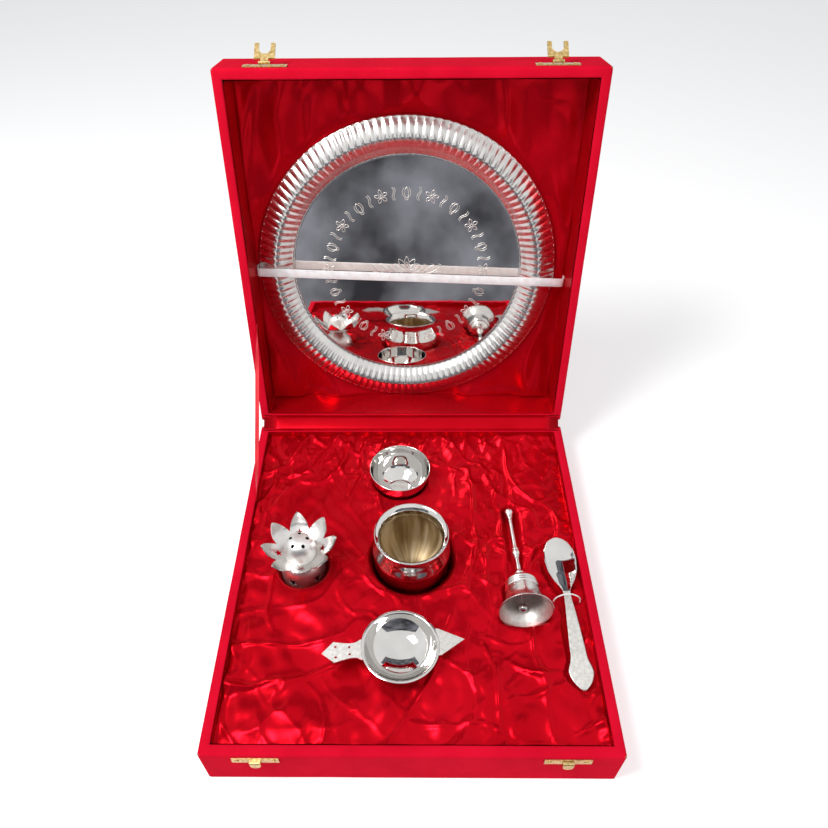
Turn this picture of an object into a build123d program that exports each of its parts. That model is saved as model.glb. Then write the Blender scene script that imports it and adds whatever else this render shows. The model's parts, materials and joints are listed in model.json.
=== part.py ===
from build123d import *
import math
import os

os.makedirs("parts", exist_ok=True)

# Puja thali set in a hinged velvet case, standing open, in millimetres.
# X runs to the right, Y to the back and Z up. The origin is the centre of the case's bottom.
# Lid pieces are built lying on their panel and then turned open about the hinge pin.

# Case
CASE_W = 288.0          # outside width
CASE_D = 308.0          # outside depth, front to back
BASE_H = 42.0           # outside height of the base
LID_H = 42.0            # outside height of the lid
BOARD = 6.4             # wall boards
PANEL = 4.0             # bottom board and lid panel
SKIN = 0.8              # velvet
LINING = 0.8            # satin
CORNER_R = 2.0          # rounding of the velvet's outer edges
LID_GAP = 1.0           # between the two rims when shut
LID_OPEN = 100.0        # degrees from shut to the ribbon's stop
BED_DROP = 8.0          # rim of the base down to the satin that the vessels lie in
FIT = 0.3               # air between a loose piece and its seat
TOUCH = 0.05            # air between a strip and the lining that it lies along
CUT = 1.0               # overrun of cuts

# Hinges
HINGE_SIDE = 59.0       # hinge centres from the case's sides
HINGE_L = 30.0          # length of a hinge along its pin
KNUCKLE_R = 2.2
PIN_R = 1.0
PIN_PLAY = 0.05         # radial play of the knuckles on the pin
KNUCKLE_PLAY = 0.2      # end play between knuckles
LEAF_H = 13.0
LEAF_T = 0.8
PIN_STAND = 2.4         # pin axis behind the back faces
HINGE_STRIP_SIDE = 13.0  # ends of the lining strip over the hinge crease, from the case's sides
HINGE_STRIP_LEG = 4.0
HINGE_STRIP_BACK = 3.5  # from the rims' back edges, clear of the knuckles
HINGE_STRIP_T = 0.4

# Nails that hold the brass plates
NAIL_R = 0.7
NAIL_HEAD_R = 1.3
NAIL_HEAD_T = 0.5
NAIL_L = 5.0

# Latches
LATCH_SIDE = 39.0       # latch centres from the case's sides
PLATE_W = 32.0
PLATE_H = 6.0
PLATE_T = 0.8
PLATE_NAIL_X = 12.5     # nails each side of a plate's middle
LATCH_PLATE_IN = 6.0    # middle of the lid's plate from the rim
CATCH_PLATE_IN = 6.5    # middle of the base's plate from the rim
LATCH_PIN_R = 0.8
LATCH_PIN_IN = 5.0      # pin from the lid's rim
LATCH_PIN_STAND = 2.6   # pin from the lid's front face
EAR_T = 1.2
EAR_GAP = 6.0           # between the two ears
LEVER_W = 15.0
LEVER_T = 1.2
LEVER_L = 16.0          # pin to the tips of the fork
LEVER_LEAN = 49.0       # degrees, opened lever towards the panel
FORK_W = 8.6            # slot between the prongs
FORK_L = 9.0
NOSE_W = 7.6
NOSE_H = 6.0
NOSE_STAND = 3.4

# Ribbon stay between lid and base, on the left
RIBBON_W = 4.0
RIBBON_T = 0.4
RIBBON_LID_U = 104.0    # upper end along the lid from the hinge
RIBBON_BASE_U = 92.0    # lower end along the base from the hinge
RIBBON_TUCK = 3.0       # both ends below their rim

# Elastic band over the thali
BAND_W = 8.0
BAND_T = 0.6
BAND_DROP = 3.0         # below the thali's centre, towards the hinge
BAND_TILT = 2.3         # degrees, right end towards the hinge

# Thali
THALI_SIDE = 5.4        # mean room between the rim and the lid's nearer walls
THALI_X = -3.6
THALI_T = 0.9
THALI_BORDER_W = 31.5   # flat's edge to the rim
THALI_FLANGE_W = 16.5   # ridge to the rim
THALI_RIDGE_H = 10.0
THALI_EDGE_H = 2.4
THALI_BEAD_R = 1.5

# Small bowl
BOWL_X = -9.8
BOWL_R = 27.0
BOWL_H = 27.0
BOWL_FOOT_R = 10.0
BOWL_T = 0.9
BOWL_SINK = 11.0        # below the satin's top

# Lota
LOTA_X = 0.3
LOTA_Y = 10.4
LOTA_H = 58.0
LOTA_FOOT_R = 15.0
LOTA_BODY_R = 31.7
LOTA_KEEL_H = 37.4
LOTA_NECK_R = 26.8
LOTA_NECK_H = 50.0
LOTA_LIP_R = 30.0
LOTA_T = 0.9
LOTA_SINK = 26.0

# Diya
DIYA_X = -8.0
DIYA_TURN = 6.5         # degrees, spout towards the back
DIYA_R = 27.5
DIYA_H = 19.0
DIYA_FOOT_R = 9.0
DIYA_T = 0.9
DIYA_FLANGE = 1.4
DIYA_SINK = 3.0
DIYA_PLATE_T = 1.2
DIYA_HANDLE_L = 28.5
DIYA_HANDLE_W = 16.5
DIYA_HOLE_R = 0.9
DIYA_SPOUT_L = 18.5
DIYA_SPOUT_W = 21.0

# Incense stand
INCENSE_SIDE = 46.9     # centre from the left lining
INCENSE_Y = 2.3
INCENSE_SINK = 14.0
INCENSE_WELL_GAP = 8.5  # air round the foot
INCENSE_FOOT_R = 18.5
INCENSE_FOOT_H = 28.0
INCENSE_WAIST_R = 8.0
INCENSE_T = 0.9
CUP_FLAT_R = 7.0
CUP_TIP_R = 30.0
CUP_VALLEY_R = 21.5
CUP_H = 18.0
CUP_SEAT_H = 2.0        # rise of the cup's floor under the dome's edge
CUP_PETALS = 8
CUP_TURN = 8.0          # degrees, first petal from the right
DOME_R = 13.0
DOME_H = 17.0
STICK_HOLES = 5
STICK_HOLE_R = 1.4
STICK_RING_R = 7.0
STAR_R = 3.6
FOOT_STAR_R = 4.4
FOOT_STARS = 5
FOOT_STAR_H = 11.0
RIVET_R = 2.0
RIVET_HEAD_R = 4.0
RIVET_HEAD_T = 1.2

# Bell, lying on its side with its mouth to the front
BELL_SIDE = 48.5        # mouth's centre from the right lining
BELL_Y = -48.5
BELL_SINK = 9.0
BELL_TILT = 8.0         # degrees, handle end down
BELL_TURN = 1.0         # degrees, handle end to the left
BELL_R = 21.0
BELL_SHOULDER_R = 12.0
BELL_SHOULDER_H = 27.0
BELL_H = 34.0
BELL_T = 1.2
BELL_RINGS = 3
BELL_RING_R = 0.8
BELL_LIP_R = 1.0
GRIP_END = 110.0        # mouth to the handle's end
GRIP_R = 1.9
GRIP_COLLAR_R = 4.4
GRIP_BEAD_R = 3.4
GRIP_KNOB_R = 4.0
STAPLE_R = 0.8
STAPLE_DROP = 5.0
CLAPPER_R = 3.6
CLAPPER_L = 19.0
CLAPPER_ROD_R = 0.9
CLAPPER_EYE_R = 2.0
CLAPPER_REST = 29.0     # degrees below the bell's axis

# Spoon
SPOON_SIDE = 14.5       # bowl's middle from the right lining
SPOON_Y = -1.0          # middle of the bowl
SPOON_TURN = 1.5        # degrees, handle end to the right
SPOON_BOWL_W = 27.0
SPOON_BOWL_L = 50.0
SPOON_BOWL_D = 7.0
SPOON_T = 1.1
SPOON_HANDLE_L = 82.0
SPOON_HANDLE_W = 18.6
SPOON_HANDLE_T = 1.6
SPOON_ARCH = 2.0

# White tie over the spoon
TIE_R = 0.6
TIE_SPAN = 21.0
TIE_RISE = 12.5
TIE_Y = -33.0

# Wells in the foam bed
WELL_GAP = 1.8          # air round a vessel
HANDLE_WELL_W = 15.0

# Places along the base as shares of its inside depth
BOWL_Y_SHARE = 0.319
DIYA_Y_SHARE = -0.268

# Outlines as shares of the sizes that they follow
LOTA_BELLY_SHARES = [(0.86, 0.257), (0.985, 0.594)]         # of body radius, keel height
LOTA_SHOULDER_SHARES = [(0.945, 0.71), (0.89, 0.785)]       # of body radius, height
BOWL_CURVE_SHARES = [(0.72, 0.22), (0.93, 0.58)]           # of radius, height
DIYA_CURVE_SHARES = [(0.68, 0.22), (0.90, 0.58)]
FOOT_CURVE_SHARES = [(0.985, 0.20), (0.94, 0.46), (0.80, 0.74)]
CUP_CURVE_SHARES = [(0.80, 0.46)]
DOME_CURVE_SHARES = [(0.977, 0.353), (0.846, 0.694), (0.615, 0.90)]
BELL_CURVE_SHARES = [(0.84, 0.16), (0.69, 0.42)]           # of mouth radius, shoulder height
HANDLE_SHARES = [(0.0, 0.95), (0.1, 0.74), (0.18, 0.69), (0.3, 0.69), (0.49, 0.81), (0.69, 0.97)]  # and a tip
HANDLE_HOLE_SHARES = [(0.29, 0.17), (0.645, 0.24)]         # of length, width
SPOON_HANDLE_SHARES = [(0.0, 0.27), (0.6, 0.58), (0.72, 0.6), (0.84, 1.0)]
STAR_DIP_SHARE = 0.42                                      # inner radius of a five-pointed star
PROFILE_STEPS = 24
OFFSET_SHARE = 0.999    # of a wall, how near its inner side comes to a neighbouring edge
STAR_POINTS = 5

# Places that follow from the sizes above
WALL = SKIN + BOARD + LINING
BED_TOP = BASE_H - BED_DROP
INNER_W = CASE_W - 2 * WALL
INNER_D = CASE_D - 2 * WALL
HINGE_X = CASE_W / 2 - HINGE_SIDE
HINGE_Y = CASE_D / 2 + PIN_STAND
HINGE_Z = BASE_H + LID_GAP / 2
HINGE_STRIP_L = CASE_W - 2 * HINGE_STRIP_SIDE
LATCH_X = CASE_W / 2 - LATCH_SIDE
RIBBON_BASE_Y = CASE_D / 2 - RIBBON_BASE_U
THALI_R = min(INNER_W, INNER_D) / 2 - THALI_SIDE
THALI_FLAT_R = THALI_R - THALI_BORDER_W
THALI_RIDGE_R = THALI_R - THALI_FLANGE_W
THALI_Y = THALI_R + FIT - INNER_D / 2                      # it stands on the lid's lower wall
BOWL_Y = INNER_D * BOWL_Y_SHARE
DIYA_Y = INNER_D * DIYA_Y_SHARE
INCENSE_X = INCENSE_SIDE - INNER_W / 2
BELL_X = INNER_W / 2 - BELL_SIDE
SPOON_X = INNER_W / 2 - SPOON_SIDE
THALI_BED = PANEL + LINING + FIT                           # plate's underside above the lid's outer face
AT_HINGE = Pos(0, HINGE_Y, HINGE_Z)
SHUT_LID = Pos(0, 0, BASE_H + LID_GAP + LID_H) * Rot(180, 0, 0)
LID_AT = AT_HINGE * Rot(-LID_OPEN, 0, 0) * AT_HINGE.inverse() * SHUT_LID
ON_FLOOR = (Align.CENTER, Align.CENTER, Align.MIN)

pieces = {}


def block(size_x, size_y, low, high, x=0.0, y=0.0):
    """Upright block between two heights."""
    return Pos(x, y, low) * Box(size_x, size_y, high - low, align=ON_FLOOR)


def disc(radius, low, high, x=0.0, y=0.0):
    """Upright cylinder between two heights."""
    return Pos(x, y, low) * Cylinder(radius, high - low, align=ON_FLOOR)


def cross_rod(radius, length, x, y, z):
    """Cylinder along X."""
    return Pos(x, y, z) * Rot(0, 90, 0) * Cylinder(radius, length)


def curve(*points):
    """Smooth curve through points given as radius and height."""
    return Spline(*[(r, 0, z) for r, z in points])


def shares_of(table, radius, height):
    """Outline points from a table of shares."""
    return [(radius * r, height * z) for r, z in table]


def turned_wall(edges, wall):
    """Turned sheet: a path from the axis to the rim, thickened on its left side."""
    moved = []
    for edge in edges:
        points = []
        for step in range(PROFILE_STEPS + 1):
            along = edge % (step / PROFILE_STEPS)
            points.append(edge @ (step / PROFILE_STEPS) + Vector(-along.Z, 0, along.X) * wall)
        # Points that come too near to the next edge lie past the corner and are left out
        for other in edges:
            if other is not edge:
                points = [p for p in points if other.distance_to(p) > OFFSET_SHARE * abs(wall)]
        straight = edge.geom_type == GeomType.LINE
        moved.append(Line(points[0], points[-1]) if straight else Spline(*points))
    bridges = [Line(before @ 1, after @ 0) for before, after in zip(moved, moved[1:])]
    ends = [Line(moved[0] @ 0, edges[0] @ 0), Line(edges[-1] @ 1, moved[-1] @ 1)]
    return revolve(make_face([*edges, *moved, *bridges, *ends]), Axis.Z)


def flat_base(radius):
    """First part of a path: the flat bottom from the axis outwards."""
    return Line((0, 0, 0), (radius, 0, 0))


def star_prism(radius, low, high, points=STAR_POINTS, dip=STAR_DIP_SHARE, turn=0.0):
    """Prism with a star outline, first point towards +X before the turn."""
    corners = []
    for i in range(2 * points):
        reach = radius if i % 2 == 0 else radius * dip
        angle = math.radians(turn + 180 * i / points)
        corners.append((reach * math.cos(angle), reach * math.sin(angle)))
    outline = make_face(Polyline(*corners, close=True))
    return Pos(0, 0, low) * extrude(outline, high - low)


def mirrored_plate(shares, length, width, thickness, tip=True):
    """Flat plate along +X from the origin, symmetric about X, from shares of its length and width."""
    upper = [(length * a, width * b / 2) for a, b in shares]
    lower = [(x, -y) for x, y in reversed(upper)]
    ends = [(length, 0)] if tip else []
    return extrude(make_face(Polyline(*upper, *ends, *lower, close=True)), thickness)


def nail(length=NAIL_L):
    """Round-headed nail along Z, its head's underside at the origin, its shank downwards."""
    return disc(NAIL_HEAD_R, 0, NAIL_HEAD_T) + disc(NAIL_R, -length, 0)


def group(solids):
    """Several separate solids as one node."""
    return Compound(children=list(solids))


def tray_boards(height, front, cover):
    """Boards of a half case, panel down; front is the front side's sign in Y, cover lies under the panel."""
    low, high = PANEL, height - SKIN
    long_w = CASE_W - 2 * SKIN
    short_d = CASE_D - 2 * SKIN - 2 * BOARD
    at_y = CASE_D / 2 - SKIN - BOARD / 2
    at_x = CASE_W / 2 - SKIN - BOARD / 2
    return {
        "panel": block(long_w, CASE_D - 2 * SKIN, cover, PANEL),
        "front_wall": block(long_w, BOARD, low, high, y=front * at_y),
        "back_wall": block(long_w, BOARD, low, high, y=-front * at_y),
        "left_wall": block(BOARD, short_d, low, high, x=-at_x),
        "right_wall": block(BOARD, short_d, low, high, x=at_x),
    }


def velvet_cover(height, panel_low):
    """Velvet over the outside of the walls and over the rim, and under a panel that starts above zero."""
    outside = block(CASE_W, CASE_D, 0, height)
    soft_edges = outside.edges().filter_by(Axis.Z) + outside.faces().sort_by(Axis.Z)[-1].edges()
    outside = fillet(soft_edges, CORNER_R)
    hollow = block(CASE_W - 2 * SKIN, CASE_D - 2 * SKIN, panel_low, height - SKIN)
    mouth = block(INNER_W + 2 * LINING, INNER_D + 2 * LINING, panel_low, height + CUT)
    return outside - hollow - mouth


def side_lining(low, high):
    """Satin on the inside of the four walls."""
    return block(INNER_W + 2 * LINING, INNER_D + 2 * LINING, low, high) - block(INNER_W, INNER_D, low, high)


def hinge_leaf(knuckles, up):
    """One leaf with its knuckles, about a pin along X at the origin; the leaf lies behind the pin."""
    face_y = -PIN_STAND
    span = HINGE_L / 3
    centre = up * (LEAF_H / 2 + KNUCKLE_R / 2)
    body = Pos(0, face_y + LEAF_T / 2, centre) * Box(HINGE_L, LEAF_T, LEAF_H)
    for slot in range(3):
        x = (slot - 1) * span
        if slot in knuckles:
            lug_h = KNUCKLE_R / 2 + PIN_R
            lug = Pos(x, face_y / 2, up * lug_h / 2) * Box(span - KNUCKLE_PLAY, PIN_STAND, lug_h)
            body += lug + cross_rod(KNUCKLE_R, span - KNUCKLE_PLAY, x, 0, 0)
        else:
            body -= Pos(x, 0, 0) * Box(span + KNUCKLE_PLAY, 2 * HINGE_L, 2 * (KNUCKLE_R + FIT))
    return body - cross_rod(PIN_R + PIN_PLAY, HINGE_L + CUT, 0, 0, 0)


# Case boards and velvet
base_boards = tray_boards(BASE_H, -1, 0)
lid_boards = tray_boards(LID_H, 1, SKIN)
base_velvet = velvet_cover(BASE_H, 0)
lid_velvet = velvet_cover(LID_H, SKIN)

# Brass plates, nails and noses; each is placed on its face, and the nail holes are cut in what they pass
FRONT_OF_BASE = Pos(0, -CASE_D / 2, BASE_H) * Rot(90, 0, 0)
FRONT_OF_LID = Pos(0, CASE_D / 2, LID_H) * Rot(-90, 0, 0)
BACK_OF_BASE = Pos(0, CASE_D / 2, BASE_H) * Rot(-90, 0, 0)
BACK_OF_LID = Pos(0, -CASE_D / 2, LID_H) * Rot(90, 0, 0)
SIDES = {"left": -1, "right": 1}


def plate_on_face(x, along, nails_x):
    """Plate lying on a face in XY with its two nails; along is the plate's middle in Y."""
    plate = block(PLATE_W, PLATE_H, 0, PLATE_T, x, along)
    nails = [Pos(x + dx, along, PLATE_T) * nail() for dx in (-nails_x, nails_x)]
    return plate, nails


catch_nails, latch_nails, latch_pins = [], [], []
for side, sign in SIDES.items():
    x = sign * LATCH_X
    # Catch on the base, its nose standing out of the front
    catch, nails = plate_on_face(x, -CATCH_PLATE_IN, PLATE_NAIL_X)
    nose_base = block(NOSE_W, NOSE_H / 2, 0, NOSE_STAND, x, -CATCH_PLATE_IN)
    nose_end = disc(NOSE_W / 2, 0, NOSE_STAND, x, -CATCH_PLATE_IN - NOSE_H / 2 + FIT)
    nose = fillet((nose_base + nose_end).faces().sort_by(Axis.Z)[-1].edges(), LEVER_T / 2)
    catch = catch + nose
    for each in nails:
        catch -= each
        base_boards["front_wall"] -= FRONT_OF_BASE * each
        base_velvet -= FRONT_OF_BASE * each
    pieces[f"catch_{side}_plate"] = FRONT_OF_BASE * catch
    catch_nails += [FRONT_OF_BASE * each for each in nails]

    # Latch plate on the lid with two ears for the lever's pin; Y here runs from the rim to the panel
    plate, nails = plate_on_face(x, LATCH_PLATE_IN, PLATE_NAIL_X)
    for ear in (-1, 1):
        ear_x = x + ear * (EAR_GAP + EAR_T) / 2
        ear_wall = block(EAR_T, 2 * LEVER_T, 0, LATCH_PIN_STAND, ear_x, LATCH_PIN_IN)
        plate += ear_wall + cross_rod(LEVER_T, EAR_T, ear_x, LATCH_PIN_IN, LATCH_PIN_STAND)
    pin = cross_rod(LATCH_PIN_R, EAR_GAP + 2 * EAR_T, x, LATCH_PIN_IN, LATCH_PIN_STAND)
    plate -= pin
    for each in nails:
        plate -= each
        lid_boards["front_wall"] -= FRONT_OF_LID * each
        lid_velvet -= FRONT_OF_LID * each
    pieces[f"latch_{side}_plate"] = LID_AT * FRONT_OF_LID * plate
    latch_pins.append(LID_AT * FRONT_OF_LID * pin)
    latch_nails += [LID_AT * FRONT_OF_LID * each for each in nails]

    # Lever, opened and leaning back over the lid's front face
    eye_w = EAR_GAP - 2 * KNUCKLE_PLAY
    lever = cross_rod(LEVER_T, eye_w, 0, 0, 0) + block(eye_w, LEVER_T, 0, LEVER_L - FORK_L)
    bridge_low = LEVER_T + EAR_T + LATCH_PIN_R
    lever += block(LEVER_W, LEVER_T, bridge_low, LEVER_L)
    lever -= block(FORK_W, LEVER_T + CUT, LEVER_L - FORK_L + FORK_W / 2, LEVER_L + CUT)
    lever -= Pos(0, 0, LEVER_L - FORK_L + FORK_W / 2) * Rot(90, 0, 0) * Cylinder(FORK_W / 2, LEVER_T + CUT)
    lever -= cross_rod(LATCH_PIN_R + PIN_PLAY, LEVER_W, 0, 0, 0)
    at_pin = Pos(x, LATCH_PIN_IN, LATCH_PIN_STAND) * Rot(-LEVER_LEAN, 0, 0)
    pieces[f"latch_{side}_lever"] = LID_AT * FRONT_OF_LID * at_pin * lever

# Two butt hinges on the back faces
hinge_base, hinge_lid, hinge_pins, hinge_base_nails, hinge_lid_nails = [], [], [], [], []
LID_AT_PIN = AT_HINGE * Rot(-LID_OPEN, 0, 0)
for sign in SIDES.values():
    x = sign * HINGE_X
    base_leaf = Pos(x, HINGE_Y, HINGE_Z) * hinge_leaf((0, 2), -1)
    lid_leaf = Pos(x, 0, 0) * hinge_leaf((1,), 1)
    for dx in (-1, 1):
        nail_x = x + dx * HINGE_L / 3
        in_base = BACK_OF_BASE * Pos(nail_x, KNUCKLE_R + LEAF_H / 2, LEAF_T) * nail()
        in_lid = BACK_OF_LID * Pos(nail_x, -KNUCKLE_R - LEAF_H / 2, LEAF_T) * nail()
        base_boards["back_wall"] -= in_base
        base_velvet -= in_base
        lid_boards["back_wall"] -= in_lid
        lid_velvet -= in_lid
        base_leaf -= in_base
        lid_leaf -= LID_AT_PIN.inverse() * LID_AT * in_lid
        hinge_base_nails.append(in_base)
        hinge_lid_nails.append(LID_AT * in_lid)
    hinge_base.append(base_leaf)
    hinge_lid.append(LID_AT_PIN * lid_leaf)
    hinge_pins.append(cross_rod(PIN_R, HINGE_L, x, HINGE_Y, HINGE_Z))

for name, board in base_boards.items():
    pieces["base_bottom_board" if name == "panel" else f"base_{name}"] = board
for name, board in lid_boards.items():
    pieces["lid_panel_board" if name == "panel" else f"lid_{name}"] = LID_AT * board
pieces["base_velvet_cover"] = base_velvet
pieces["lid_velvet_cover"] = LID_AT * lid_velvet
pieces["catch_nails"] = group(catch_nails)
pieces["latch_nails"] = group(latch_nails)
pieces["latch_pins"] = group(latch_pins)
pieces["hinge_base_leaves"] = group(hinge_base)
pieces["hinge_lid_leaves"] = group(hinge_lid)
pieces["hinge_pins"] = group(hinge_pins)
pieces["hinge_base_nails"] = group(hinge_base_nails)
pieces["hinge_lid_nails"] = group(hinge_lid_nails)

# Thali, built on the lid's panel: flat, wall up to a ridge, flange down to a beaded edge
thali_edge_r = THALI_R - THALI_BEAD_R
back_ridge_h = THALI_RIDGE_H - THALI_T
thali_arch = curve((THALI_FLAT_R, 0), (THALI_RIDGE_R, back_ridge_h), (thali_edge_r, THALI_EDGE_H))
thali = turned_wall([flat_base(THALI_FLAT_R), thali_arch], THALI_T)
thali += Pos(0, 0, THALI_EDGE_H) * Torus(thali_edge_r, THALI_BEAD_R)
THALI_AT = LID_AT * Pos(THALI_X, THALI_Y, THALI_BED)
pieces["thali_plate"] = THALI_AT * thali

# Elastic band: straight over the thali's ridge, down both side walls to the lining behind
band_low = THALI_BED + THALI_RIDGE_H + FIT
band_half = INNER_W / 2 - FIT
band = block(2 * band_half, BAND_W, band_low, band_low + BAND_T)
for sign in SIDES.values():
    leg_x = sign * (band_half - BAND_T / 2)
    band += block(BAND_T, BAND_W, PANEL + LINING + TOUCH, band_low + BAND_T, leg_x)
pieces["elastic_band"] = LID_AT * Pos(0, THALI_Y - BAND_DROP, 0) * Rot(0, 0, -BAND_TILT) * band

# Satin of the lid: panel and walls in one cloth
lid_satin = block(INNER_W + 2 * LINING, INNER_D + 2 * LINING, PANEL, PANEL + LINING)
lid_satin += side_lining(PANEL, LID_H)
pieces["lid_satin_lining"] = LID_AT * lid_satin

# Small bowl
BOWL_FLOOR = BED_TOP - BOWL_SINK
bowl_curve = curve((BOWL_FOOT_R, 0), *shares_of(BOWL_CURVE_SHARES, BOWL_R, BOWL_H), (BOWL_R, BOWL_H))
bowl = turned_wall([flat_base(BOWL_FOOT_R), bowl_curve], BOWL_T)
pieces["small_bowl"] = Pos(BOWL_X, BOWL_Y, BOWL_FLOOR) * bowl

# Lota: round belly up to a keel, sloping shoulder, narrow neck, turned-out lip
LOTA_FLOOR = BED_TOP - LOTA_SINK
lota_belly = curve(
    (LOTA_FOOT_R, 0), *shares_of(LOTA_BELLY_SHARES, LOTA_BODY_R, LOTA_KEEL_H), (LOTA_BODY_R, LOTA_KEEL_H)
)
lota_neck = curve(
    (LOTA_BODY_R, LOTA_KEEL_H),
    *shares_of(LOTA_SHOULDER_SHARES, LOTA_BODY_R, LOTA_H),
    (LOTA_NECK_R, LOTA_NECK_H),
    (LOTA_LIP_R, LOTA_H),
)
lota = turned_wall([flat_base(LOTA_FOOT_R), lota_belly, lota_neck], LOTA_T)
pieces["lota"] = Pos(LOTA_X, LOTA_Y, LOTA_FLOOR) * lota

# Diya: shallow bowl with a narrow flange, flat pierced handle and pointed spout
DIYA_FLOOR = BED_TOP - DIYA_SINK
DIYA_AT = Pos(DIYA_X, DIYA_Y, DIYA_FLOOR) * Rot(0, 0, DIYA_TURN)
diya_curve = curve((DIYA_FOOT_R, 0), *shares_of(DIYA_CURVE_SHARES, DIYA_R, DIYA_H), (DIYA_R, DIYA_H))
diya = turned_wall([flat_base(DIYA_FOOT_R), diya_curve], DIYA_T)
flange_r = DIYA_R + DIYA_FLANGE
diya += disc(flange_r, DIYA_H - DIYA_PLATE_T, DIYA_H) - disc(DIYA_R - DIYA_T, 0, DIYA_H + CUT)
diya_handle = mirrored_plate(HANDLE_SHARES, DIYA_HANDLE_L, DIYA_HANDLE_W, DIYA_PLATE_T)
for along, across in HANDLE_HOLE_SHARES:
    for sign in SIDES.values():
        hole_y = sign * DIYA_HANDLE_W * across
        diya_handle -= disc(DIYA_HOLE_R, -CUT, DIYA_PLATE_T + CUT, DIYA_HANDLE_L * along, hole_y)
diya_spout = mirrored_plate([(0.0, 1.0)], DIYA_SPOUT_L, DIYA_SPOUT_W, DIYA_PLATE_T)


def at_flange(plate, half_width):
    """Plate moved out to the flange and trimmed to its curve."""
    start = math.sqrt(flange_r**2 - half_width**2)
    root = block(flange_r - start, 2 * half_width, 0, DIYA_PLATE_T, (flange_r + start) / 2)
    moved = Pos(0, 0, DIYA_H - DIYA_PLATE_T) * (root + Pos(flange_r, 0, 0) * plate)
    return moved - disc(flange_r, 0, DIYA_H + CUT)


handle_root = DIYA_HANDLE_W * HANDLE_SHARES[0][1] / 2
pieces["diya_bowl"] = DIYA_AT * diya
pieces["diya_handle"] = DIYA_AT * Rot(0, 0, 180) * at_flange(diya_handle, handle_root)
pieces["diya_spout"] = DIYA_AT * at_flange(diya_spout, DIYA_SPOUT_W / 2)

# Incense stand: bell-shaped foot, lotus cup on top, dome with stick holes in the cup, one rivet through both
INCENSE_FLOOR = BED_TOP - INCENSE_SINK
INCENSE_AT = Pos(INCENSE_X, INCENSE_Y, INCENSE_FLOOR)


def foot_form(inset):
    """Solid foot, drawn in all round by inset."""
    shoulder = shares_of(FOOT_CURVE_SHARES, INCENSE_FOOT_R, INCENSE_FOOT_H)
    side = [(INCENSE_FOOT_R, 0), *shoulder, (INCENSE_WAIST_R, INCENSE_FOOT_H)]
    flank = curve(*[(r - inset, z - inset) for r, z in side])
    rim = Line((0, 0, -inset), flank @ 0)
    crown = Line(flank @ 1, (0, 0, INCENSE_FOOT_H - inset))
    return revolve(make_face([rim, flank, crown, Line(crown @ 1, rim @ 0)]), Axis.Z)


foot = foot_form(0) - foot_form(INCENSE_T)
foot -= disc(RIVET_R, 0, INCENSE_FOOT_H + CUT)
for i in range(FOOT_STARS):
    turn = 360 * i / FOOT_STARS
    star = Rot(0, 90, 0) * star_prism(FOOT_STAR_R, 0, INCENSE_FOOT_R + CUT)
    foot -= Rot(0, 0, turn) * Pos(0, 0, FOOT_STAR_H) * star
pieces["incense_foot"] = INCENSE_AT * foot

CUP_AT = INCENSE_AT * Pos(0, 0, INCENSE_FOOT_H)
cup_curve = curve(
    (CUP_FLAT_R, 0),
    (DOME_R, CUP_SEAT_H),
    *shares_of(CUP_CURVE_SHARES, CUP_TIP_R, CUP_H),
    (CUP_TIP_R, CUP_H),
)
cup = turned_wall([flat_base(CUP_FLAT_R), cup_curve], INCENSE_T)
cup &= star_prism(CUP_TIP_R, -CUT, CUP_H + CUT, CUP_PETALS, CUP_VALLEY_R / CUP_TIP_R, CUP_TURN)
for i in range(0, CUP_PETALS, 2):
    turn = CUP_TURN + 360 * i / CUP_PETALS
    cup -= Rot(0, 0, turn) * Pos((CUP_VALLEY_R + DOME_R) / 2, 0, 0) * star_prism(STAR_R, 0, CUP_H)
cup -= disc(RIVET_R, -CUT, CUP_H)
pieces["lotus_cup"] = CUP_AT * cup

dome_low = CUP_SEAT_H + INCENSE_T + FIT
dome_top = Line((0, 0, DOME_H), (RIVET_R, 0, DOME_H))
dome_curve = curve((RIVET_R, DOME_H), *reversed(shares_of(DOME_CURVE_SHARES, DOME_R, DOME_H)), (DOME_R, 0))
dome = turned_wall([dome_top, dome_curve], -INCENSE_T)
for i in range(STICK_HOLES):
    angle = math.radians(90 + 360 * i / STICK_HOLES)
    hole_x, hole_y = STICK_RING_R * math.cos(angle), STICK_RING_R * math.sin(angle)
    dome -= disc(STICK_HOLE_R, 0, DOME_H + CUT, hole_x, hole_y)
pieces["incense_dome"] = CUP_AT * Pos(0, 0, dome_low) * dome

rivet = disc(RIVET_R, -INCENSE_T, INCENSE_T)
rivet += disc(RIVET_HEAD_R, INCENSE_T, INCENSE_T + RIVET_HEAD_T)
rivet += disc(RIVET_HEAD_R, -INCENSE_T - RIVET_HEAD_T, -INCENSE_T)
pieces["incense_rivet"] = CUP_AT * rivet

# Bell: built upright on its mouth, then laid down with the mouth to the front
tilt = math.radians(BELL_TILT)
BELL_FLOOR = BED_TOP - BELL_SINK
BELL_Z = BELL_FLOOR + (BELL_R + BELL_LIP_R / 2) * math.cos(tilt) + BELL_LIP_R * math.sin(tilt)
BELL_AT = Pos(BELL_X, BELL_Y, BELL_Z) * Rot(0, 0, BELL_TURN) * Rot(-90 - BELL_TILT, 0, 0)
bell_curve = curve(
    (BELL_SHOULDER_R, BELL_SHOULDER_H),
    *reversed(shares_of(BELL_CURVE_SHARES, BELL_R, BELL_SHOULDER_H)),
    (BELL_R, 0),
)
bell_crown = curve((GRIP_COLLAR_R, BELL_H), (BELL_SHOULDER_R, BELL_SHOULDER_H))
bell_top = Line((0, 0, BELL_H), (GRIP_COLLAR_R, 0, BELL_H))
bell = turned_wall([bell_top, bell_crown, bell_curve], -BELL_T)
for i in range(BELL_RINGS):
    ring_h = BELL_SHOULDER_H - 3 * BELL_RING_R * i
    bell += Pos(0, 0, ring_h) * Torus(BELL_SHOULDER_R - BELL_RING_R / 2, BELL_RING_R)
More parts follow.
